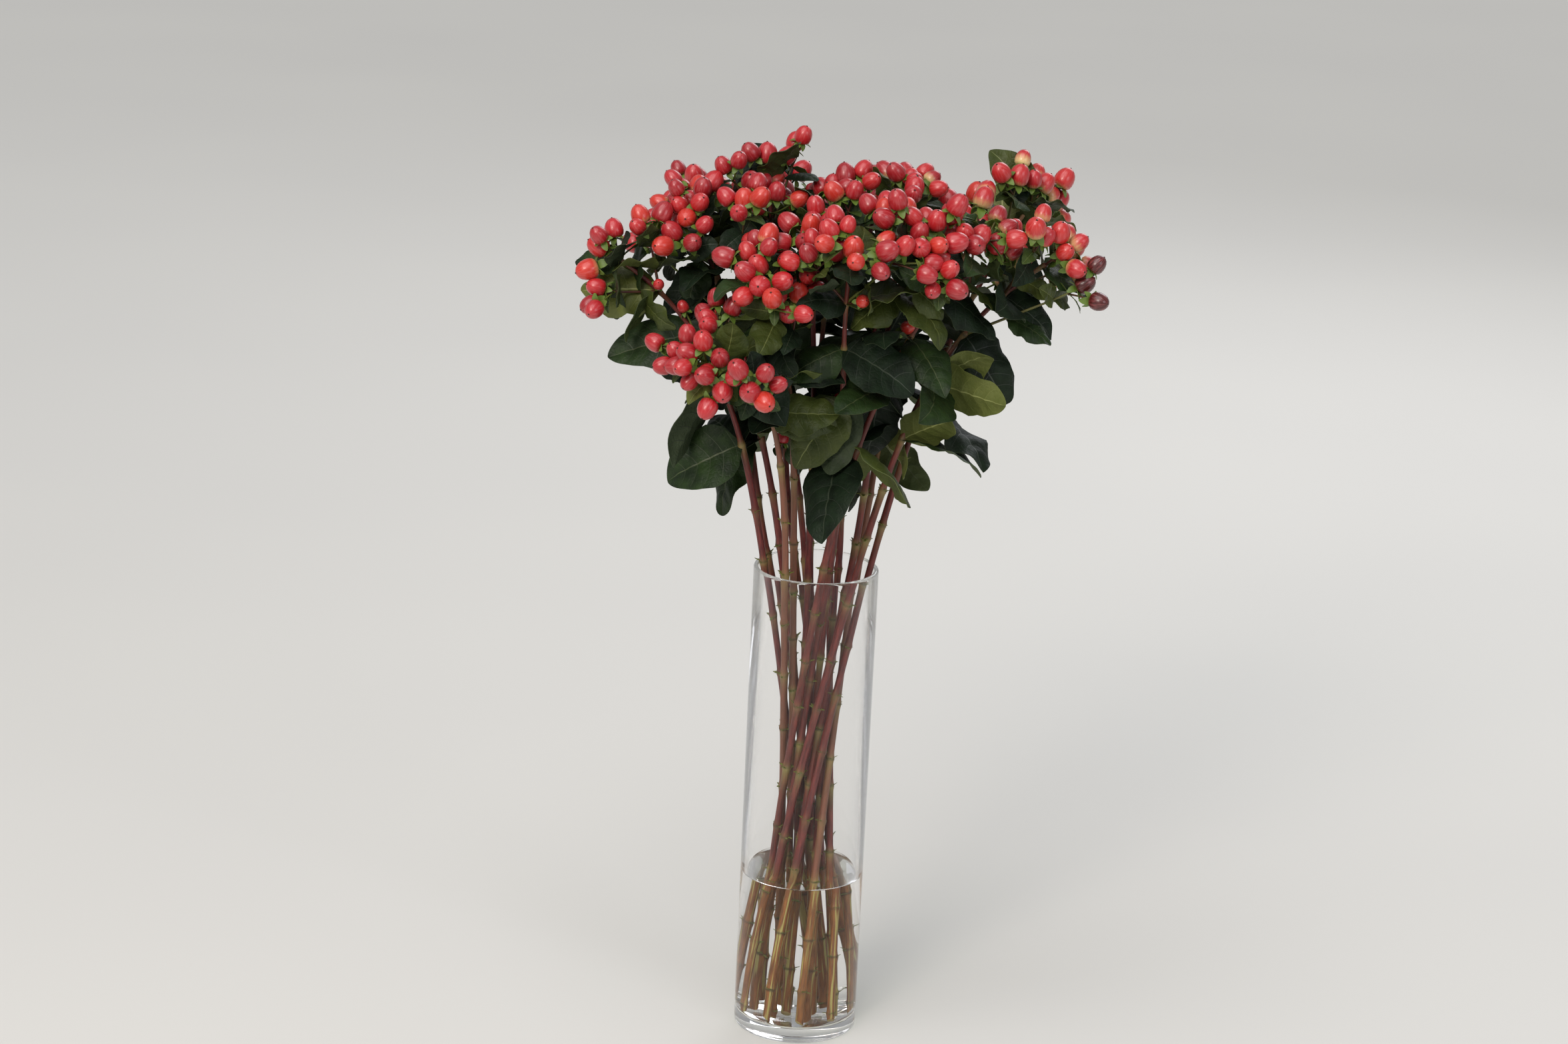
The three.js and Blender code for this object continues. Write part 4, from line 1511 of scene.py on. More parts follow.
@dataclass
class CutStems:
    """The stems from their cut feet to their crown nodes, with a swelling at each node, two low
    ridges along each length between nodes, and the torn stubs of the stripped leaves."""

    lines: list[StemLine]
    foot_radius: float = 3.1
    handover_radius: float = 2.75
    crown_radius: float = 1.6
    handover_height: float = 455.0
    scar_height: float = 492.0
    sides: int = 12
    rings: int = 132
    bare_spacing: float = 50.0
    lowest_node: float = 4.0
    stop_below: float = 24.0
    swelling: float = 0.8
    ridge: float = 0.06
    grain: float = 9.0

    # The first numbers of the places that the draws for a stem are made at
    spaces, marks, foot, colour, lobes = 2000, 2100, 2200, 2300, 2400

    def node_ways(self, owner: int, line: StemLine) -> list[float]:
        """The ways up a stem at which its nodes stand.

        Args:
            owner: The stem's number.
            line: Its line.

        Returns:
            The ways, from the crown down.
        """
        ways = [line.length - pair.below for pair in LEAF_PAIRS]
        first = len(ways)
        while ways[-1] > self.stop_below:
            place = Place(owner, self.spaces + len(ways) - first)
            ways.append(ways[-1] - place.near(self.bare_spacing, 9, 1))
        return [way for way in ways if way > self.lowest_node]

    def ring_ways(self, line: StemLine, nodes: Sequence[float]) -> Array:
        """The ways of a stem's rings, which crowd at the nodes.

        Args:
            line: The stem's line.
            nodes: The ways of its nodes.

        Returns:
            The ways.
        """
        fine = np.linspace(0, line.length, 2000)
        crowd = np.ones_like(fine)
        for node in nodes:
            crowd += 3.2 * hill(fine - node, 4.5)
        total = np.concatenate(([0], np.cumsum((crowd[1:] + crowd[:-1]) / 2)))
        return np.interp(np.linspace(0, total[-1], self.rings), total, fine)

    def radius_at(self, line: StemLine, ways: Array) -> Array:
        """The stem's own radius at its rings, without swellings.

        Args:
            line: The stem's line.
            ways: The ways of its rings.

        Returns:
            The radius at each ring.
        """
        heights = np.array([line.at(way).point[2] for way in ways])
        handover = float(np.interp(self.handover_height, heights, ways))
        low = self.foot_radius + (self.handover_radius - self.foot_radius) * ways / handover
        rest = (ways - handover) / (line.length - handover)
        high = self.handover_radius + (self.crown_radius - self.handover_radius) * rest
        return np.where(ways < handover, low, high)

    def node_marks(self, owner: int, ways: Array, nodes: Sequence[float]) -> tuple[Array, ...]:
        """What the nodes do to a stem at its rings.

        Args:
            owner: The stem's number.
            ways: The ways of its rings.
            nodes: The ways of its nodes.

        Returns:
            The swelling, the pale band, the dark ring and the count of nodes above.
        """
        swell, band, dark, count = (np.zeros_like(ways) for _ in range(4))
        for number, node in enumerate(nodes):
            above, place = ways - node, Place(owner, self.marks + number)
            swell += hill(above, 2.6) + 0.25 * hill(above + 5, 6)
            dark = np.maximum(dark, 0.8 * hill(above, 0.8))
            reach = np.where(above < 0, np.exp(above / place.near(6, 3.5, 2)), np.exp(-above / 1.8))
            band = np.maximum(band, place.near(0.44, 0.34, 1) * reach)
            count += above < 0
        return swell, band, dark, count

    def build(self) -> list[Object]:
        """Models the stems and their leaf scars.

        Returns:
            The two pieces.
        """
        tube = straight_tube(self.sides, self.rings)
        tube.slots = (tube.sizes > 4).astype(np.int32)
        ring = np.rint(tube.points[:, 2]).astype(int)
        turn = np.arctan2(tube.points[:, 1], tube.points[:, 0])
        stems, scars, stub = Heap("cut_stems", "grain"), Heap("leaf_scars"), self.stub_template()
        for owner, line in enumerate(self.lines):
            nodes = self.node_ways(owner, line)
            ways = self.ring_ways(line, nodes)
            places = [line.at(way) for way in ways]
            plain = self.radius_at(line, ways)
            swell, band, dark, count = self.node_marks(owner, ways, nodes)
            angle = radians(HEADS[owner].turn) + count * pi / 2
            ridges = 1 + self.ridge * np.cos(2 * (turn - angle[ring]))
            radii = (plain[ring] + self.swelling * swell[ring]) * ridges
            centres = np.array([place.point for place in places])
            tangents = np.array([place.tangent for place in places])
            points = bent_tube(tube, centres, tangents, line.guide, radii)
            cut, low = Place(owner, self.foot), ring == 0
            slope = self.foot_radius * tan(cut.angle(38, 14, 1))
            points[low, 2] += slope * (1 + np.cos(turn[low] - 2 * pi * cut.share(2)))
            grain = np.stack((turn / (2 * pi) % 1.0 * self.grain, ways[ring] / 16 + owner * 7.3), 1)
            laid = unbroken(grain[tube.corners], tube.sizes, self.grain)
            draw = Place(owner, self.colour).share(1)
            pale = 0.5 if draw > 0.92 else 0.12 * draw
            stems.add(tube, points, laid, band=band[ring], ring=dark[ring], pale=pale)
            for number, way in enumerate(nodes):
                node = line.at(way)
                if node.point[2] <= self.scar_height:
                    radius = float(np.interp(way, ways, plain))
                    self.add_scars(scars, stub, node, Place(owner, number), radius)
        log.info("cut_stems: %d stems", len(self.lines))
        return [
            dressed(stems.build(), [BARK, WOOD], 60, ALL_STEMS),
            dressed(scars.build(), [TORN], 30, ALL_STEMS),
        ]

    @staticmethod
    def stub_template() -> Template:
        """Models one lobe of a torn stub: a small cone that is squeezed flat.

        Returns:
            The template.
        """
        deselect_all()
        bpy.ops.mesh.primitive_cone_add(vertices=6, radius1=1, radius2=0.3, depth=1, location=(0, 0, 0.5))
        piece = bpy.context.object
        begin_edit(piece)
        bpy.ops.transform.resize(value=(1, 0.5, 1), center_override=(0, 0, 0))
        end_edit()
        bpy.ops.object.transform_apply()
        return Template.taken_from(piece)

    def add_scars(self, scars: Heap, stub: Template, node: StemNode, place: Place, radius: float) -> None:
        """Adds the pair of torn stubs at a bare node, three lobes each.

        Args:
            scars: The heap that they go to.
            stub: The template of a lobe.
            node: The node.
            place: The stem's number and the node's.
            radius: The stem's radius there.
        """
        x, y, z = stub.points.T
        first = radians(HEADS[place.owner].turn) + (place.number + 1) * pi / 2
        for lobe in range(6):
            spot = place.numbered(self.lobes + 6 * place.number + lobe)
            out = node.facing(first + lobe // 3 * pi + 0.62 * (lobe % 3 - 1) + spot.near(0, 0.2, 1))
            reach, wide, rise = spot.near(3.4, 1.7, 2), spot.near(1.7, 0.5, 3), spot.near(0.3, 0.5, 4)
            far, aside = (radius * 0.75 + z * reach, out), (x * wide, np.cross(node.tangent, out))
            scars.add(stub, laid_out(node.point, far, aside, (y * 1.1 + z**2 * rise * reach, node.tangent)))


def leaf_sheet(veins: int, blade_rows: int, half_columns: int, thickness: float) -> Template:
    """Models a flat leaf blank: a grid whose rows will follow the side veins, drawn out to a thin
    closed sheet. Slot 0 is the upper side, 1 the underside, 2 the side veins and 3 the midrib.

    The blank's x is the share across, from -1 to 1, its y the share along, its z the relief.

    Args:
        veins: Side veins on each side of the midrib.
        blade_rows: Rows of blade between one side vein and the next.
        half_columns: Columns on each side of the midrib.
        thickness: The sheet's thickness as a share of its length.

    Returns:
        The template.
    """
    strip, rib, hair = 0.008, 0.026, 1e-6
    first, last = 0.07, 0.86
    rows, vein_rows = [0.0], []
    reach = (last - first) / veins
    for number in range(veins):
        middle = first + (last - first) * number / veins
        vein_rows.append(len(rows))
        rows.append(middle - strip / 2)
        start, end = middle + strip / 2, middle + reach - strip / 2
        rows += [start + (end - start) * part / blade_rows for part in range(blade_rows)]
    rows += [last, 0.93, 0.975, 1.0]
    half = [rib + (1 - rib) * (n / half_columns) ** 0.9 for n in range(half_columns + 1)]
    columns = [-v for v in reversed(half)] + half
    deselect_all()
    bpy.ops.mesh.primitive_grid_add(x_subdivisions=len(columns) - 1, y_subdivisions=len(rows) - 1, size=2)
    piece = bpy.context.object
    mesh = piece.data
    grid = corners_of(mesh)
    column, row = (
        np.rint((grid[:, axis] + 1) / 2 * (len(lines) - 1)).astype(int)
        for axis, lines in enumerate((columns, rows))
    )
    across, base = np.array(columns)[column], np.array(rows)[row]
    # A strip narrows from the midrib to the margin
    for start in vein_rows:
        middle = (rows[start] + rows[start + 1]) / 2
        on_strip = (row == start) | (row == start + 1)
        base = np.where(on_strip, middle + (base - middle) * (1 - 0.6 * np.abs(across)), base)
    forward = 0.78 * base * (1 - base)
    relief = np.zeros_like(base)
    for start, end in zip(vein_rows, [*vein_rows[1:], len(rows) - 4]):
        low, high = rows[start + 1], rows[end]
        share = np.clip((base - low) / (high - low), 0, 1)
        crown = np.sin(pi * share) * np.clip(1 - np.abs(across), 0, 1) ** 0.5
        relief += np.where((base > low) & (base < high), 0.016 * crown, 0)
    relief -= np.where(np.abs(across) <= rib + hair, 0.006, 0)
    reshape(piece, across, base + forward * np.abs(across) ** 1.5, relief)
    for face in mesh.polygons:
        widest = max(abs(across[c]) for c in face.vertices)
        is_strip = min(row[c] for c in face.vertices) in vein_rows and widest < 0.93
        face.material_index = 3 if widest <= rib + hair else 2 if is_strip else 0
    draw_out(piece, thickness)
    for face in mesh.polygons:
        if face.normal.z < 0.02 and (face.material_index == 0 or face.normal.z > -0.5):
            face.material_index = 1
    return Template.taken_from(piece)


@dataclass
class Blade:
    """The shape of one leaf, in shares of its length and in radians."""

    width: float
    fullness: float
    fold: float
    wave: float
    phase: float
    twist: float
    waves: float = 2.2
    curl: float = 0.0
    uneven: float = 0.0
    sway: float = 0.0
    tip_bend: float = 0.0
    widest_power: float = 0.74

    def copy(self, sheet: Template, pose: LeafPose) -> Array:
        """Bends a leaf blank to a pose.

        Args:
            sheet: The blank.
            pose: The leaf's pose.

        Returns:
            The copy's points in millimetres.
        """
        across, along, relief = sheet.points.T
        share = np.clip(along, 0, 1)
        half = pose.length * self.width / 2
        out = across * self.outline(across, share) * half
        ripple = np.sin(2 * pi * self.waves * share + self.phase + 2.1 * (across > 0))
        raised = np.abs(out) * self.fold + relief * pose.length
        raised += self.wave * pose.length * np.abs(across) ** 2.0 * ripple * np.sin(pi * share) ** 0.5
        raised -= self.curl * out**2 / half
        raised -= self.tip_bend * pose.length * np.clip((share - 0.6) / 0.4, 0, 1) ** 2
        out = out + self.sway * pose.length * share * (1 - share) * 4 * share
        turned, bend = self.twist * share, pose.arch * share
        side = out * np.cos(turned) - raised * np.sin(turned)
        raised = out * np.sin(turned) + raised * np.cos(turned)
        forward = pose.length * np.sin(bend) / pose.arch + raised * np.sin(bend)
        rise = raised * np.cos(bend) - pose.length * (1 - np.cos(bend)) / pose.arch
        return laid_out(pose.root, (forward, pose.along), (rise, pose.face), (side, pose.side))

    def outline(self, across: Array, share: Array) -> Array:
        """The half width along the leaf, in shares of the greatest, a little uneven by side.

        Args:
            across: The share across at each point.
            share: The share along.

        Returns:
            The half widths.
        """
        width = np.sin(pi * share**self.widest_power) ** self.fullness
        side = np.where(across > 0, 1.0, -1.0)
        slow = np.sin(2 * pi * 1.7 * share + self.phase * 1.3 + side)
        quick = np.sin(2 * pi * 4.3 * share + self.phase * 2.9 + 2 * side)
        width = width * (1 + self.uneven * (slow + 0.5 * quick))
        return np.where(share > 0.5, np.maximum(width, 0.02), np.maximum(width, 0.09))


@dataclass
class Foliage:
    """The leaves, joined by their green."""

    growth: Growth

    def build(self) -> list[Object]:
        """Models the leaves.

        Returns:
            A piece for each green.
        """
        sheet = leaf_sheet(veins=5, blade_rows=3, half_columns=5, thickness=0.006)
        pieces = []
        for tint in Tint:
            heap = Heap(f"leaves_{tint.value}")
            for pose in self.growth.leaves:
                if pose.tint is tint:
                    heap.add(sheet, self.blade(pose.place).copy(sheet, pose))
            pieces.append(dressed(heap.build(), GREENS[tint], 55, ALL_HEADS))
            log.info("%s: %d leaves", heap.name, len(heap.copies))
        return pieces

    @staticmethod
    def blade(place: Place) -> Blade:
        """The shape of the leaf at a place.

        Args:
            place: The place.

        Returns:
            The shape.
        """
        return Blade(
            width=place.near(0.66, 0.07, 11), fullness=place.near(0.64, 0.14, 18),
            fold=place.near(0.22, 0.2, 12), wave=place.near(0.044, 0.026, 13),
            waves=place.near(2.3, 0.8, 14), phase=2 * pi * place.share(15), twist=place.angle(0, 24, 16),
            curl=place.near(0.24, 0.3, 17), uneven=place.near(0.055, 0.035, 19),
            sway=place.near(0, 0.07, 28), tip_bend=place.near(0.03, 0.07, 29),
        )


@dataclass
class LateBerries:
    """Further berries from the same forks, which fill each cyme where there is room, and a few
    small ones on thin stalks from the leaf axils below."""

    growth: Growth
    tries: int = 14
    small_tries: int = 10
    stalk: float = 19
    small_stalk: float = 21
    size: float = 0.9
    small_size: float = 0.6
    root_radius: float = 0.75
    stalk_gap: float = 0.9
    full_heads: tuple[int, ...] = (1, 2, 6)
    axil_share: float = 0.62

    # The first number of the places of the small berries' axils, and of the late berries
    axils, first = 7000, 20000

    def grow(self) -> None:
        """Adds the berries and their stalks to the growth."""
        fruits = self.growth.fruits
        grown = len(fruits)
        for fork in list(self.growth.forks):
            most = 2 if fork.place.owner in self.full_heads or fork.place == DRIED else 1
            for number in range(self.tries):
                most -= self.grow_one(fork, number, self.stalk, self.size)
                if most == 0:
                    break
        filled = len(fruits)
        for owner, line in enumerate(self.growth.lines):
            for level in (1, 2, 3):
                place = Place(owner, self.axils + level)
                if place.share(1) < self.axil_share:
                    node = line.below_crown(LEAF_PAIRS[level].below)
                    side = node.facing(HEADS[owner].pair_angle(level))
                    fork = Fork(node.point, node.tangent, side, place, 0)
                    like = (self.small_stalk, self.small_size)
                    any(self.grow_one(fork, number, *like) for number in range(self.small_tries))
        log.info("late berries: %d, and %d small ones", filled - grown, len(fruits) - filled)

    def grow_one(self, fork: Fork, number: int, way: float, size: float) -> bool:
        """Adds the berry of one try at a fork, if its room is free.

        Args:
            fork: The fork that its stalk comes from.
            number: The try.
            way: The stalk's middle length.
            size: The berry's middle size.

        Returns:
            Whether it was added.
        """
        place = fork.place.numbered(self.first + 16 * (fork.place.number % 65536) + number)
        aside = swung(*square_to(fork.direction, fork.side), 2 * pi * place.share(2))
        direction = swung(fork.direction, aside, place.angle(42, 34, 1))
        base = fork.point + direction * place.near(way, 7, 3)
        fruit = Fruit(base, unit(direction), place.near(size, 0.1, 4), place, fork.place)
        if not self.is_free(fork, fruit):
            return False
        self.growth.fruits.append(fruit)
        seat = fruit.base + fruit.direction * SEAT
        self.growth.twigs.append(Twig([fork.point, seat], self.root_radius, place))
        return True

    def is_free(self, fork: Fork, fruit: Fruit) -> bool:
        """Whether a berry and its stalk keep clear of the other berries and of the part's heads.

        Args:
            fork: The fork that the stalk comes from.
            fruit: The berry.

        Returns:
            Whether they do.
        """
        others = self.growth.fruits
        apart = np.linalg.norm(np.array([o.middle for o in others]) - fruit.middle, axis=1)
        if np.any(apart < np.array([o.radius for o in others]) + fruit.radius):
            return False
        spots = [fork.point + (fruit.base - fork.point) * share for share in (0.4, 0.6, 0.8)]
        return self.growth.clearance(fruit.middle) >= fruit.radius * 0.96 and all(
            self.growth.clearance(spot) >= self.stalk_gap for spot in spots
        )


@dataclass
class LateLeaves:
    """Further leaves: pairs on the side branches, smaller ones where the part's stems had no room
    for a full one, and the upright olive ones among the berries at the right."""

    growth: Growth
    gap: float = 0.8
    berry_gap: float = 0.6
    leaf_gap: float = 2.5
    tries: int = 12
    smaller_share: float = 0.72
    branch_leaf: float = 38
    branch_seats: tuple[float, ...] = (0.42, 0.86)

    # What is added to the number of a leaf's own place, and the first number on the branches
    smaller, on_branches = 40000, 41000

    def grow(self) -> None:
        """Adds the leaves to the growth."""
        leaves = self.growth.leaves
        before = len(leaves)
        self.middles = np.array([fruit.middle for fruit in self.growth.fruits])
        self.reaches = np.array([fruit.radius for fruit in self.growth.fruits])
        self.sheets: list[Array] = []
        taken = {leaf.place for leaf in leaves}
        for shown in MORE_SHOWN_LEAVES:
            kept = any(self.keep(pose) for pose in self.growth.shown_poses(shown))
            log.info("shown leaf of head %d kept: %s", shown.head, kept)
        for pair, node, angle, place in leaf_seats(self.growth.lines):
            if place not in taken:
                smaller = place.numbered(place.number + self.smaller)
                self.grow_one(node, angle, pair.length * self.smaller_share, smaller)
        for twig in self.growth.twigs:
            if len(twig.points) == 3:
                root, end = twig.points[:2]
                run = unit(end - root)
                for step, share in enumerate(self.branch_seats):
                    node = StemNode(root + (end - root) * share, run, guide_for(run))
                    for hand in (0, 1):
                        number = self.on_branches + 8 * twig.place.number + 2 * step + hand
                        angle = hand * pi + step * pi / 2
                        seat = twig.place.numbered(number)
                        self.grow_one(node, angle, self.branch_leaf - 6 * step, seat)
        log.info("late leaves: %d", len(leaves) - before)

    def grow_one(self, node: StemNode, angle: float, length: float, seat: Place) -> None:
        """Adds the first of a leaf's tries that is free.

        Args:
            node: The node that it grows from.
            angle: Its angle round the stem.
            length: Its middle length.
            seat: The place that its tries count from.
        """
        for number in range(self.tries):
            place = seat.numbered(seat.number * 16 + number)
            if self.keep(LeafPose.on_stem(
                node, angle + place.near(0, 0.9, 1), place.angle(24, 34, 2), 0, place.near(0, 0.7, 3),
                place.near(length, length * 0.18, 4), place.angle(34, 22, 5),
                seat, green_for(place.share(7), 0.3, 0.72),
            )):
                return

    def keep(self, pose: LeafPose) -> bool:
        """Adds a leaf if it is free of the part, of all berries and of the other late leaves.

        Args:
            pose: The leaf's pose.

        Returns:
            Whether it was added.
        """
        side = pose.side * pose.length * 0.31
        sheet = np.array([
            pose.point(share) + side * sin(pi * min(share, 0.999) ** 0.74) * hand
            for share in (0.28, 0.42, 0.56, 0.7, 0.85, 1.0) for hand in (-1, 0, 1)
        ])
        apart = np.linalg.norm(self.middles[:, None] - sheet[None], axis=2)
        if (
            np.any(apart < self.reaches[:, None] + self.berry_gap)
            or any(self.growth.clearance(point) < self.gap for point in sheet)
            or any(np.linalg.norm(o[:, None] - sheet, axis=2).min() < self.leaf_gap for o in self.sheets)
        ):
            return False
        self.sheets.append(sheet)
        self.growth.leaves.append(pose)
        return True


@dataclass
class Bracts:
    """The small leaves under the forks of the cymes. One that would touch a berry, a leaf or a
    limb of the part is left out."""

    growth: Growth
    gap: float = 1.0
    lengths: tuple[float, ...] = (17, 22, 32)

    # The first number of their places
    first = 3000

    def build(self) -> Object:
        """Models the small leaves.

        Returns:
            The piece.
        """
        sheet = leaf_sheet(veins=3, blade_rows=1, half_columns=3, thickness=0.012)
        heap = Heap("small_leaves")
        poses = [self.pose(fork, hand) for fork in self.growth.forks for hand in (1, -1)]
        for pose in filter(self.is_free, poses):
            heap.add(sheet, self.blade(pose.place).copy(sheet, pose))
        log.info("small_leaves: %d of %d", len(heap.copies), len(poses))
        return dressed(heap.build(), SMALL_GREENS, 55, ALL_HEADS)

    def is_free(self, pose: LeafPose) -> bool:
        """Whether a small leaf keeps its gap from the part beyond its root.

        Args:
            pose: The leaf's pose.

        Returns:
            Whether it does.
        """
        side = pose.side * pose.length * 0.24
        spots = [pose.point(share) + side * hand for share in (0.4, 0.6, 0.8) for hand in (-1, 0, 1)]
        return all(self.growth.clearance(spot) >= self.gap for spot in (*spots, pose.point(1.0)))

    def pose(self, fork: Fork, hand: int) -> LeafPose:
        """The pose of the small leaf on one side of a fork.

        Args:
            fork: The fork.
            hand: The side, 1 or -1.

        Returns:
            The pose.
        """
        place = fork.place.numbered(self.first + 2 * (fork.place.number % 4096) + (hand > 0))
        across = square_to(fork.direction, fork.side)[0] * hand
        turned = turned_about(across, fork.direction, place.near(0, 0.5, 1))
        along = unit(swung(turned, fork.direction, place.angle(14, 22, 2)))
        face = square_to(along, fork.direction)[0]
        length = place.near(self.lengths[fork.levels], 5, 3)
        return LeafPose(fork.point, along, face, length, place.angle(38, 20, 4), place, MID)

    @staticmethod
    def blade(place: Place) -> Blade:
        """The shape of the small leaf at a place.

        Args:
            place: The place.

        Returns:
            The shape.
        """
        return Blade(
            width=place.near(0.58, 0.08, 11), fullness=0.62, fold=place.near(0.22, 0.16, 12),
            wave=0.03, phase=2 * pi * place.share(15), twist=place.angle(0, 20, 16),
        )


@dataclass
class Berries:
    """The ripe berries, each on its stalk with its five sepals."""

    growth: Growth
    sides: int = 16
    sepals: int = 5
    stalk_sides: int = 8
    stalk_rings: int = 9
    stalk_radius: float = 0.72
    bend: float = 5.0
    cream_heads: tuple[int, ...] = (12, 13)
    some_cream_heads: tuple[int, ...] = (11, 9)

    # Radii and heights of the berry's outline, in shares of its greatest radius and its length
    outline = (
        (0.0, 0.03), (0.38, 0.0), (0.72, 0.035), (0.92, 0.13), (1.0, 0.29), (0.99, 0.45), (0.91, 0.62),
        (0.75, 0.77), (0.52, 0.885), (0.25, 0.95), (0.1, 0.965), (0.06, 1.0), (0.0, 1.0),
    )
    tip_share = 0.96

    def berry_template(self) -> Template:
        """Turns one berry. Slot 1 is the dry tip.

        Returns:
            The template.
        """
        piece = turned_piece("berry_blank", self.outline, self.sides)
        for face in piece.data.polygons:
            face.material_index = int(face.center.z > self.tip_share)
        return Template.taken_from(piece)

    @staticmethod
    def sepal_template() -> Template:
        """Models one sepal: a small grid drawn out to a closed sheet, ovate and lightly cupped.

        Returns:
            The template. Its x runs from the stalk to its tip, in shares of its length.
        """
        deselect_all()
        bpy.ops.mesh.primitive_grid_add(x_subdivisions=4, y_subdivisions=3, size=2)
        piece = bpy.context.object
        grid = corners_of(piece.data)
        along = (grid[:, 0] + 1) / 2
        side = grid[:, 1] * (0.33 * np.maximum(np.sin(pi * along**0.8) ** 0.6, 0.2))
        reshape(piece, along, side, 0.5 * side**2 + 0.06 * np.sin(pi * along))
        draw_out(piece, 0.045)
        return Template.taken_from(piece)

    def ripeness(self, fruit: Fruit) -> tuple[float, float]:
        """How ripe a berry is.

        Args:
            fruit: The berry.

        Returns:
            Its tint, from 0 for orange red to 1 for deep red, and how far cream reaches up.
        """
        place = fruit.place
        draw = place.share(8)
        tint, cream = 0.6 + (draw - 0.5) * 0.5, -0.2
        if fruit.fork == DRIED:
            tint = 1.3
        elif place.owner in self.cream_heads:
            tint, cream = 0.2 + 0.35 * draw, place.near(0.22, 0.26, 9)
        elif place.owner in self.some_cream_heads and draw > 0.66:
            cream = place.near(0.15, 0.2, 9)
        elif place.share(10) > 0.86:
            tint, cream = 0.05, 0.1
        return tint, cream

    def build(self) -> list[Object]:
        """Models the berries, sepals and stalks.

        Returns:
            The three pieces.
        """
        blank, sepal = self.berry_template(), self.sepal_template()
        berries, calyces = Heap("berries", "skin"), Heap("calyces")
        x, y, z = blank.points.T
        flat = np.stack((np.arctan2(y, x) / (2 * pi) % 1.0, z), 1)[blank.corners]
        flat = unbroken(flat, blank.sizes, 1.0)
        for fruit in self.growth.fruits:
            axis, spin = fruit.direction, 2 * pi * fruit.place.share(20)
            first, second = (turned_about(v, axis, spin) for v in square_to(axis, guide_for(axis)))
            wide = (x * fruit.radius, first), (y * fruit.radius, second)
            points = laid_out(fruit.base, *wide, (z * fruit.length, axis))
            tint, cream = self.ripeness(fruit)
            laid = flat + (fruit.place.share(21) * 37, 0)
            berries.add(blank, points, laid, tint=tint, cream=cream)
            self.add_calyx(calyces, sepal, fruit, first, second)
        log.info("berries: %d with %d sepals each", len(self.growth.fruits), self.sepals)
        return [
            dressed(berries.build(), [BERRY, DRY_TIP], 62, ALL_HEADS),
            dressed(calyces.build(), [SEPAL], 55, ALL_HEADS), self.build_stalks(),
        ]

    def add_calyx(self, calyces: Heap, sepal: Template, fruit: Fruit, first: Array, second: Array) -> None:
        """Adds the sepals under a berry.

        Args:
            calyces: The heap that they go to.
            sepal: The sepal's template.
            fruit: The berry.
            first: A direction square to the berry's own.
            second: The direction square to both.
        """
        x, y, z = sepal.points.T
        for number in range(self.sepals):
            place = fruit.place.numbered(fruit.place.number * self.sepals + number)
            out = swung(first, second, 2 * pi * (number + place.near(0, 0.1, 22)) / self.sepals)
            length = fruit.size * place.near(9.4, 1.4, 23)
            bend = place.angle(16, 26, 24) + place.near(0.2, 0.3, 25) * x
            far = 0.7 + length * x * np.cos(bend) + z * length * np.sin(bend)
            up = z * length * np.cos(bend) - length * x * np.sin(bend)
            aside = (y * length, np.cross(fruit.direction, out))
            calyces.add(sepal, laid_out(fruit.base, (far, out), aside, (up, fruit.direction)))

    def build_stalks(self) -> Object:
        """Models the stalks.

        Returns:
            The piece.
        """
        tube = straight_tube(self.stalk_sides, self.stalk_rings)
        ring = np.rint(tube.points[:, 2]).astype(int)
        share = np.linspace(0, 1, self.stalk_rings)
        share[-2] = 0.94
        stalks = Heap("berry_stalks")
        for twig in self.growth.twigs:
            centres, tangents = self.path(twig, share)
            way = float(np.linalg.norm(np.diff(centres, axis=0), axis=1).sum())
            radii = twig.root_radius + (self.stalk_radius - twig.root_radius) * share
            radii = radii + 0.85 * np.exp(-(way * (1 - share)) / 1.5) + 0.4 * np.exp(-way * share / 1.6)
            points = bent_tube(tube, centres, tangents, guide_for(tangents[0]), radii[ring])
            stalks.add(tube, points, green=twig.place.share(26) ** 2)
        log.info("berry_stalks: %d", len(self.growth.twigs))
        return dressed(stalks.build(), [STALK], 60, ALL_HEADS)

    def path(self, twig: Twig, shares: Array) -> tuple[Array, Array]:
        """The middle and the direction of a stalk at shares of its way.

        Args:
            twig: The stalk.
            shares: The shares.

        Returns:
            The points and the directions.
        """
        knots = np.array(twig.points)
        if len(knots) == 2:
            way = knots[1] - knots[0]
            side = square_to(unit(way), guide_for(unit(way)))[0]
            sway = np.sin(pi * shares) * twig.place.near(0, 0.9, 27)
            centres = laid_out(knots[0], (shares, way), (sway, side))
        else:
            # Two straight runs, with the bend between them drawn round
            ways = np.concatenate(([0], np.cumsum(np.linalg.norm(np.diff(knots, axis=0), axis=1))))
            at, end = shares * ways[-1], ways[-1]
            spans = [(at + shift).clip(0, end) for shift in (-self.bend, 0, self.bend)]
            runs = [np.stack([np.interp(s, ways, knots[:, k]) for k in range(3)], 1) for s in spans]
            inner = ((at > self.bend) & (at < end - self.bend))[:, None]
            centres = np.where(inner, (runs[0] + runs[1] + runs[2]) / 3, runs[1])
        tangents = np.gradient(centres, axis=0)
        return centres, tangents / np.linalg.norm(tangents, axis=1)[:, None]


# The studio


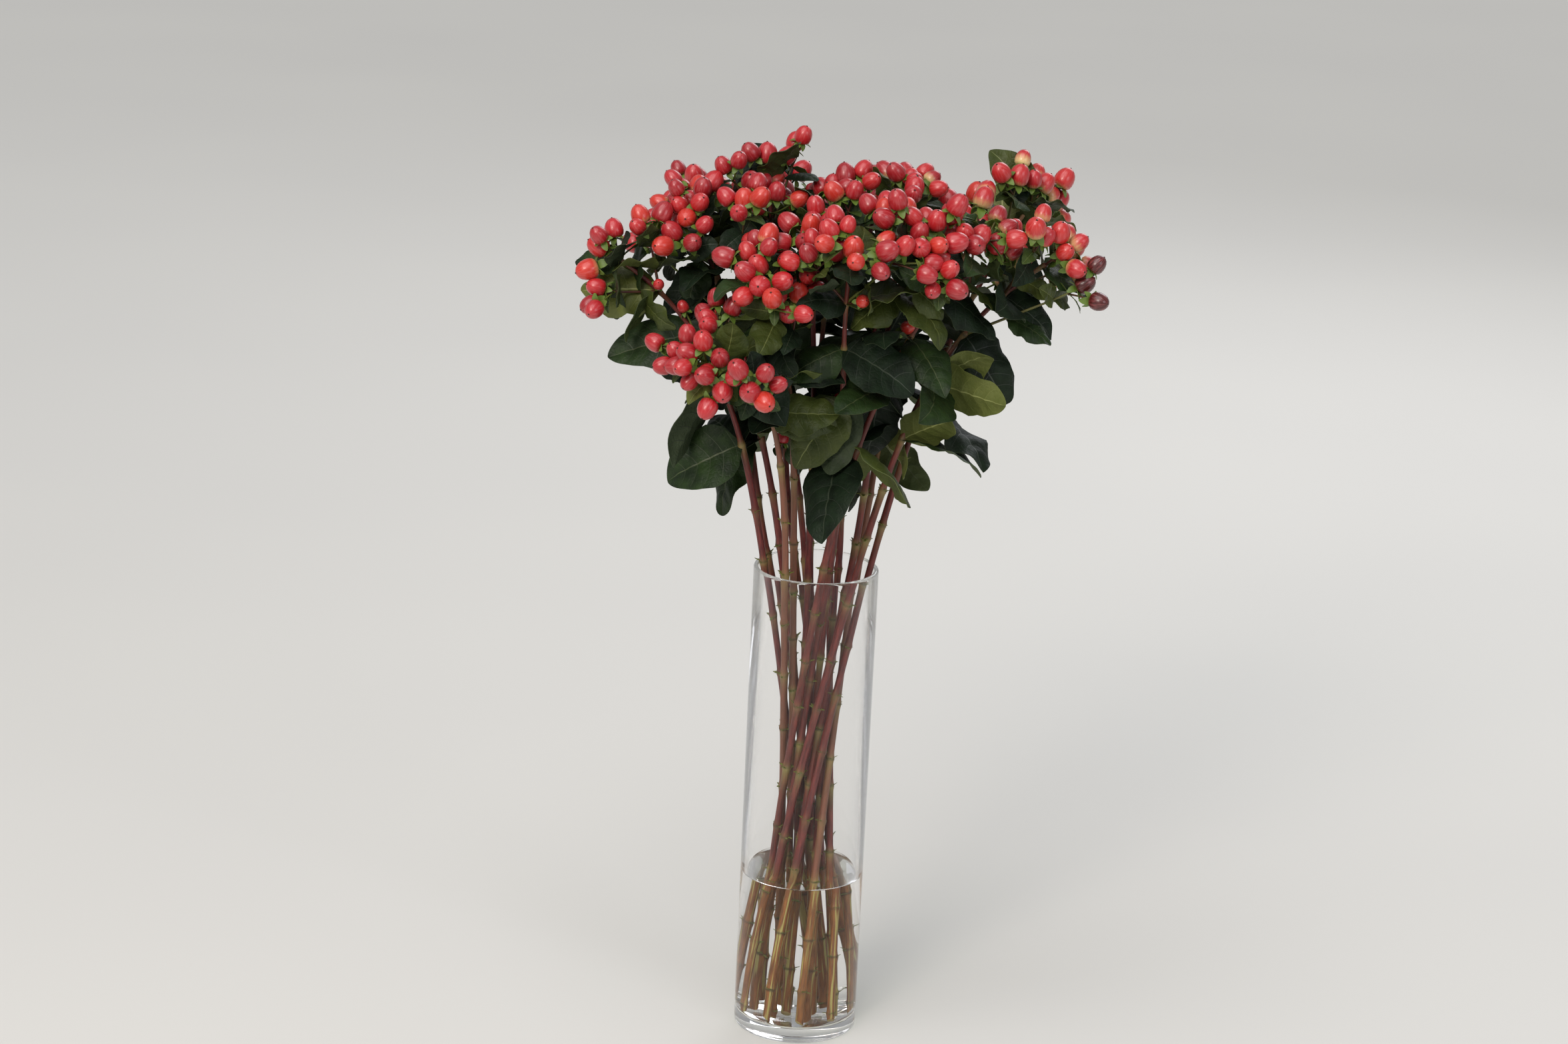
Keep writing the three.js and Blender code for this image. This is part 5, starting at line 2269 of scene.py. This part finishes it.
@dataclass
class Studio:
    """A plain pale floor, soft lights and the camera at the photograph's place."""

    position: tuple[float, float, float] = (0.0, -2.987, 1.28936)
    lens: float = 87.83
    pitch: float = radians(15.946)
    yaw: float = radians(-0.5363)
    roll: float = radians(2.6385)
    floor_radius: float = 60.0
    room_light: float = 0.37
    ceiling_light: float = 1.6
    aim_height: float = 0.45
    glass_bounces: int = 256

    # Each soft box's name, place, side, power and colour
    soft_boxes = (
        ("soft_key", (-1.2, -2.5, 2.2), 1.0, 41, "fff6ec"),
        ("soft_fill", (2.0, -2.2, 1.6), 1.2, 15, "f4f7ff"),
        ("soft_back", (1.1, 2.6, 2.1), 1.6, 22, "f8faff"),
    )

    def build(self) -> None:
        """Sets up the floor, the lights, the surroundings and the camera."""
        deselect_all()
        bpy.ops.mesh.primitive_circle_add(vertices=96, radius=self.floor_radius, fill_type="NGON")
        floor = bpy.context.object
        floor.name = "pale_floor"
        begin_edit(floor)
        for _ in range(4):
            bpy.ops.mesh.inset(thickness=self.floor_radius * 0.2)
        end_edit()
        floor.data.materials.append(BOARD.build())
        floor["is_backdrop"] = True
        # The even light of a broad ceiling, the same all over the floor
        ceiling = self.add_lamp("SUN", "broad_ceiling", (0, 0, 3), self.ceiling_light)
        ceiling.data.angle = radians(55)
        ceiling.rotation_euler = (radians(24), radians(-14), 0)
        for name, place, size, watts, colour in self.soft_boxes:
            lamp = self.add_lamp("AREA", name, place, watts)
            lamp.data.shape = "SQUARE"
            lamp.data.size = size
            lamp.data.color = linear(colour)[:3]
            aim = Vector((0, 0, self.aim_height)) - Vector(place)
            lamp.rotation_euler = aim.to_track_quat("-Z", "Y").to_euler()
        self.light_surroundings()
        self.add_camera()

    @staticmethod
    def add_lamp(kind: str, name: str, place: tuple[float, float, float], power: float) -> Object:
        """Adds a lamp.

        Args:
            kind: Its kind, as Blender names it.
            name: Its name.
            place: Where it stands.
            power: Its power.

        Returns:
            The lamp.
        """
        deselect_all()
        bpy.ops.object.light_add(type=kind, location=place)
        lamp = bpy.context.object
        lamp.name = name
        lamp.data.energy = power
        return lamp

    def light_surroundings(self) -> None:
        """Gives the surroundings an even pale light."""
        scene = bpy.context.scene
        scene.world = bpy.data.worlds.new("pale_room")
        scene.world.use_nodes = True
        sky = scene.world.node_tree.nodes["Background"]
        fit(sky, {"Color": "e4e6e8", "Strength": self.room_light})
        scene.view_settings.view_transform = "Standard"
        # Light runs round and down inside the glass wall, and with fewer bounces its edges go dark
        for kind in ("max_bounces", "glossy_bounces", "transmission_bounces"):
            setattr(scene.cycles, kind, self.glass_bounces)

    def add_camera(self) -> None:
        """Adds the camera at the photograph's viewing angle."""
        flat = cos(self.pitch)
        ahead = Vector((sin(self.yaw) * flat, cos(self.yaw) * flat, -sin(self.pitch)))
        right = Vector((cos(self.yaw), -sin(self.yaw), 0))
        up = right.cross(ahead)
        rolled_right = right * cos(self.roll) + up * sin(self.roll)
        rolled_up = up * cos(self.roll) - right * sin(self.roll)
        data = bpy.data.cameras.new("photo_camera")
        data.sensor_width = 36
        data.lens = self.lens
        camera = bpy.data.objects.new("photo_camera", data)
        bpy.context.scene.collection.objects.link(camera)
        turn = Matrix((rolled_right, rolled_up, -ahead)).transposed().to_4x4()
        camera.matrix_world = Matrix.Translation(self.position) @ turn
        bpy.context.scene.camera = camera


def main() -> None:
    """Builds the bunch, the vase and the studio in order, and reports each piece."""
    logging.basicConfig(level=logging.INFO, format="%(message)s")
    cad_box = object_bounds()
    lines = deal_stems()
    growth = Growth(lines)
    log.info("grown: %d berries, %d leaves", len(growth.fruits), len(growth.leaves))
    LateBerries(growth).grow()
    LateLeaves(growth).grow()
    glass = GlassCylinder()
    pieces = [glass.build(), StillWater(glass).build()]
    pieces += CutStems(lines).build() + Berries(growth).build() + Foliage(growth).build()
    pieces.append(Bracts(growth).build())
    Studio().build()
    total = 0
    for piece in pieces:
        piece.data.calc_loop_triangles()
        count = len(piece.data.loop_triangles)
        total += count
        log.info("%s: %d triangles", piece.name, count)
    log.info("in all: %d triangles", total)
    boxes = {"cad": cad_box, "visual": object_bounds()}
    {name: [list(corner) for corner in box] for name, box in boxes.items()}


if __name__ == "__main__":
    main()
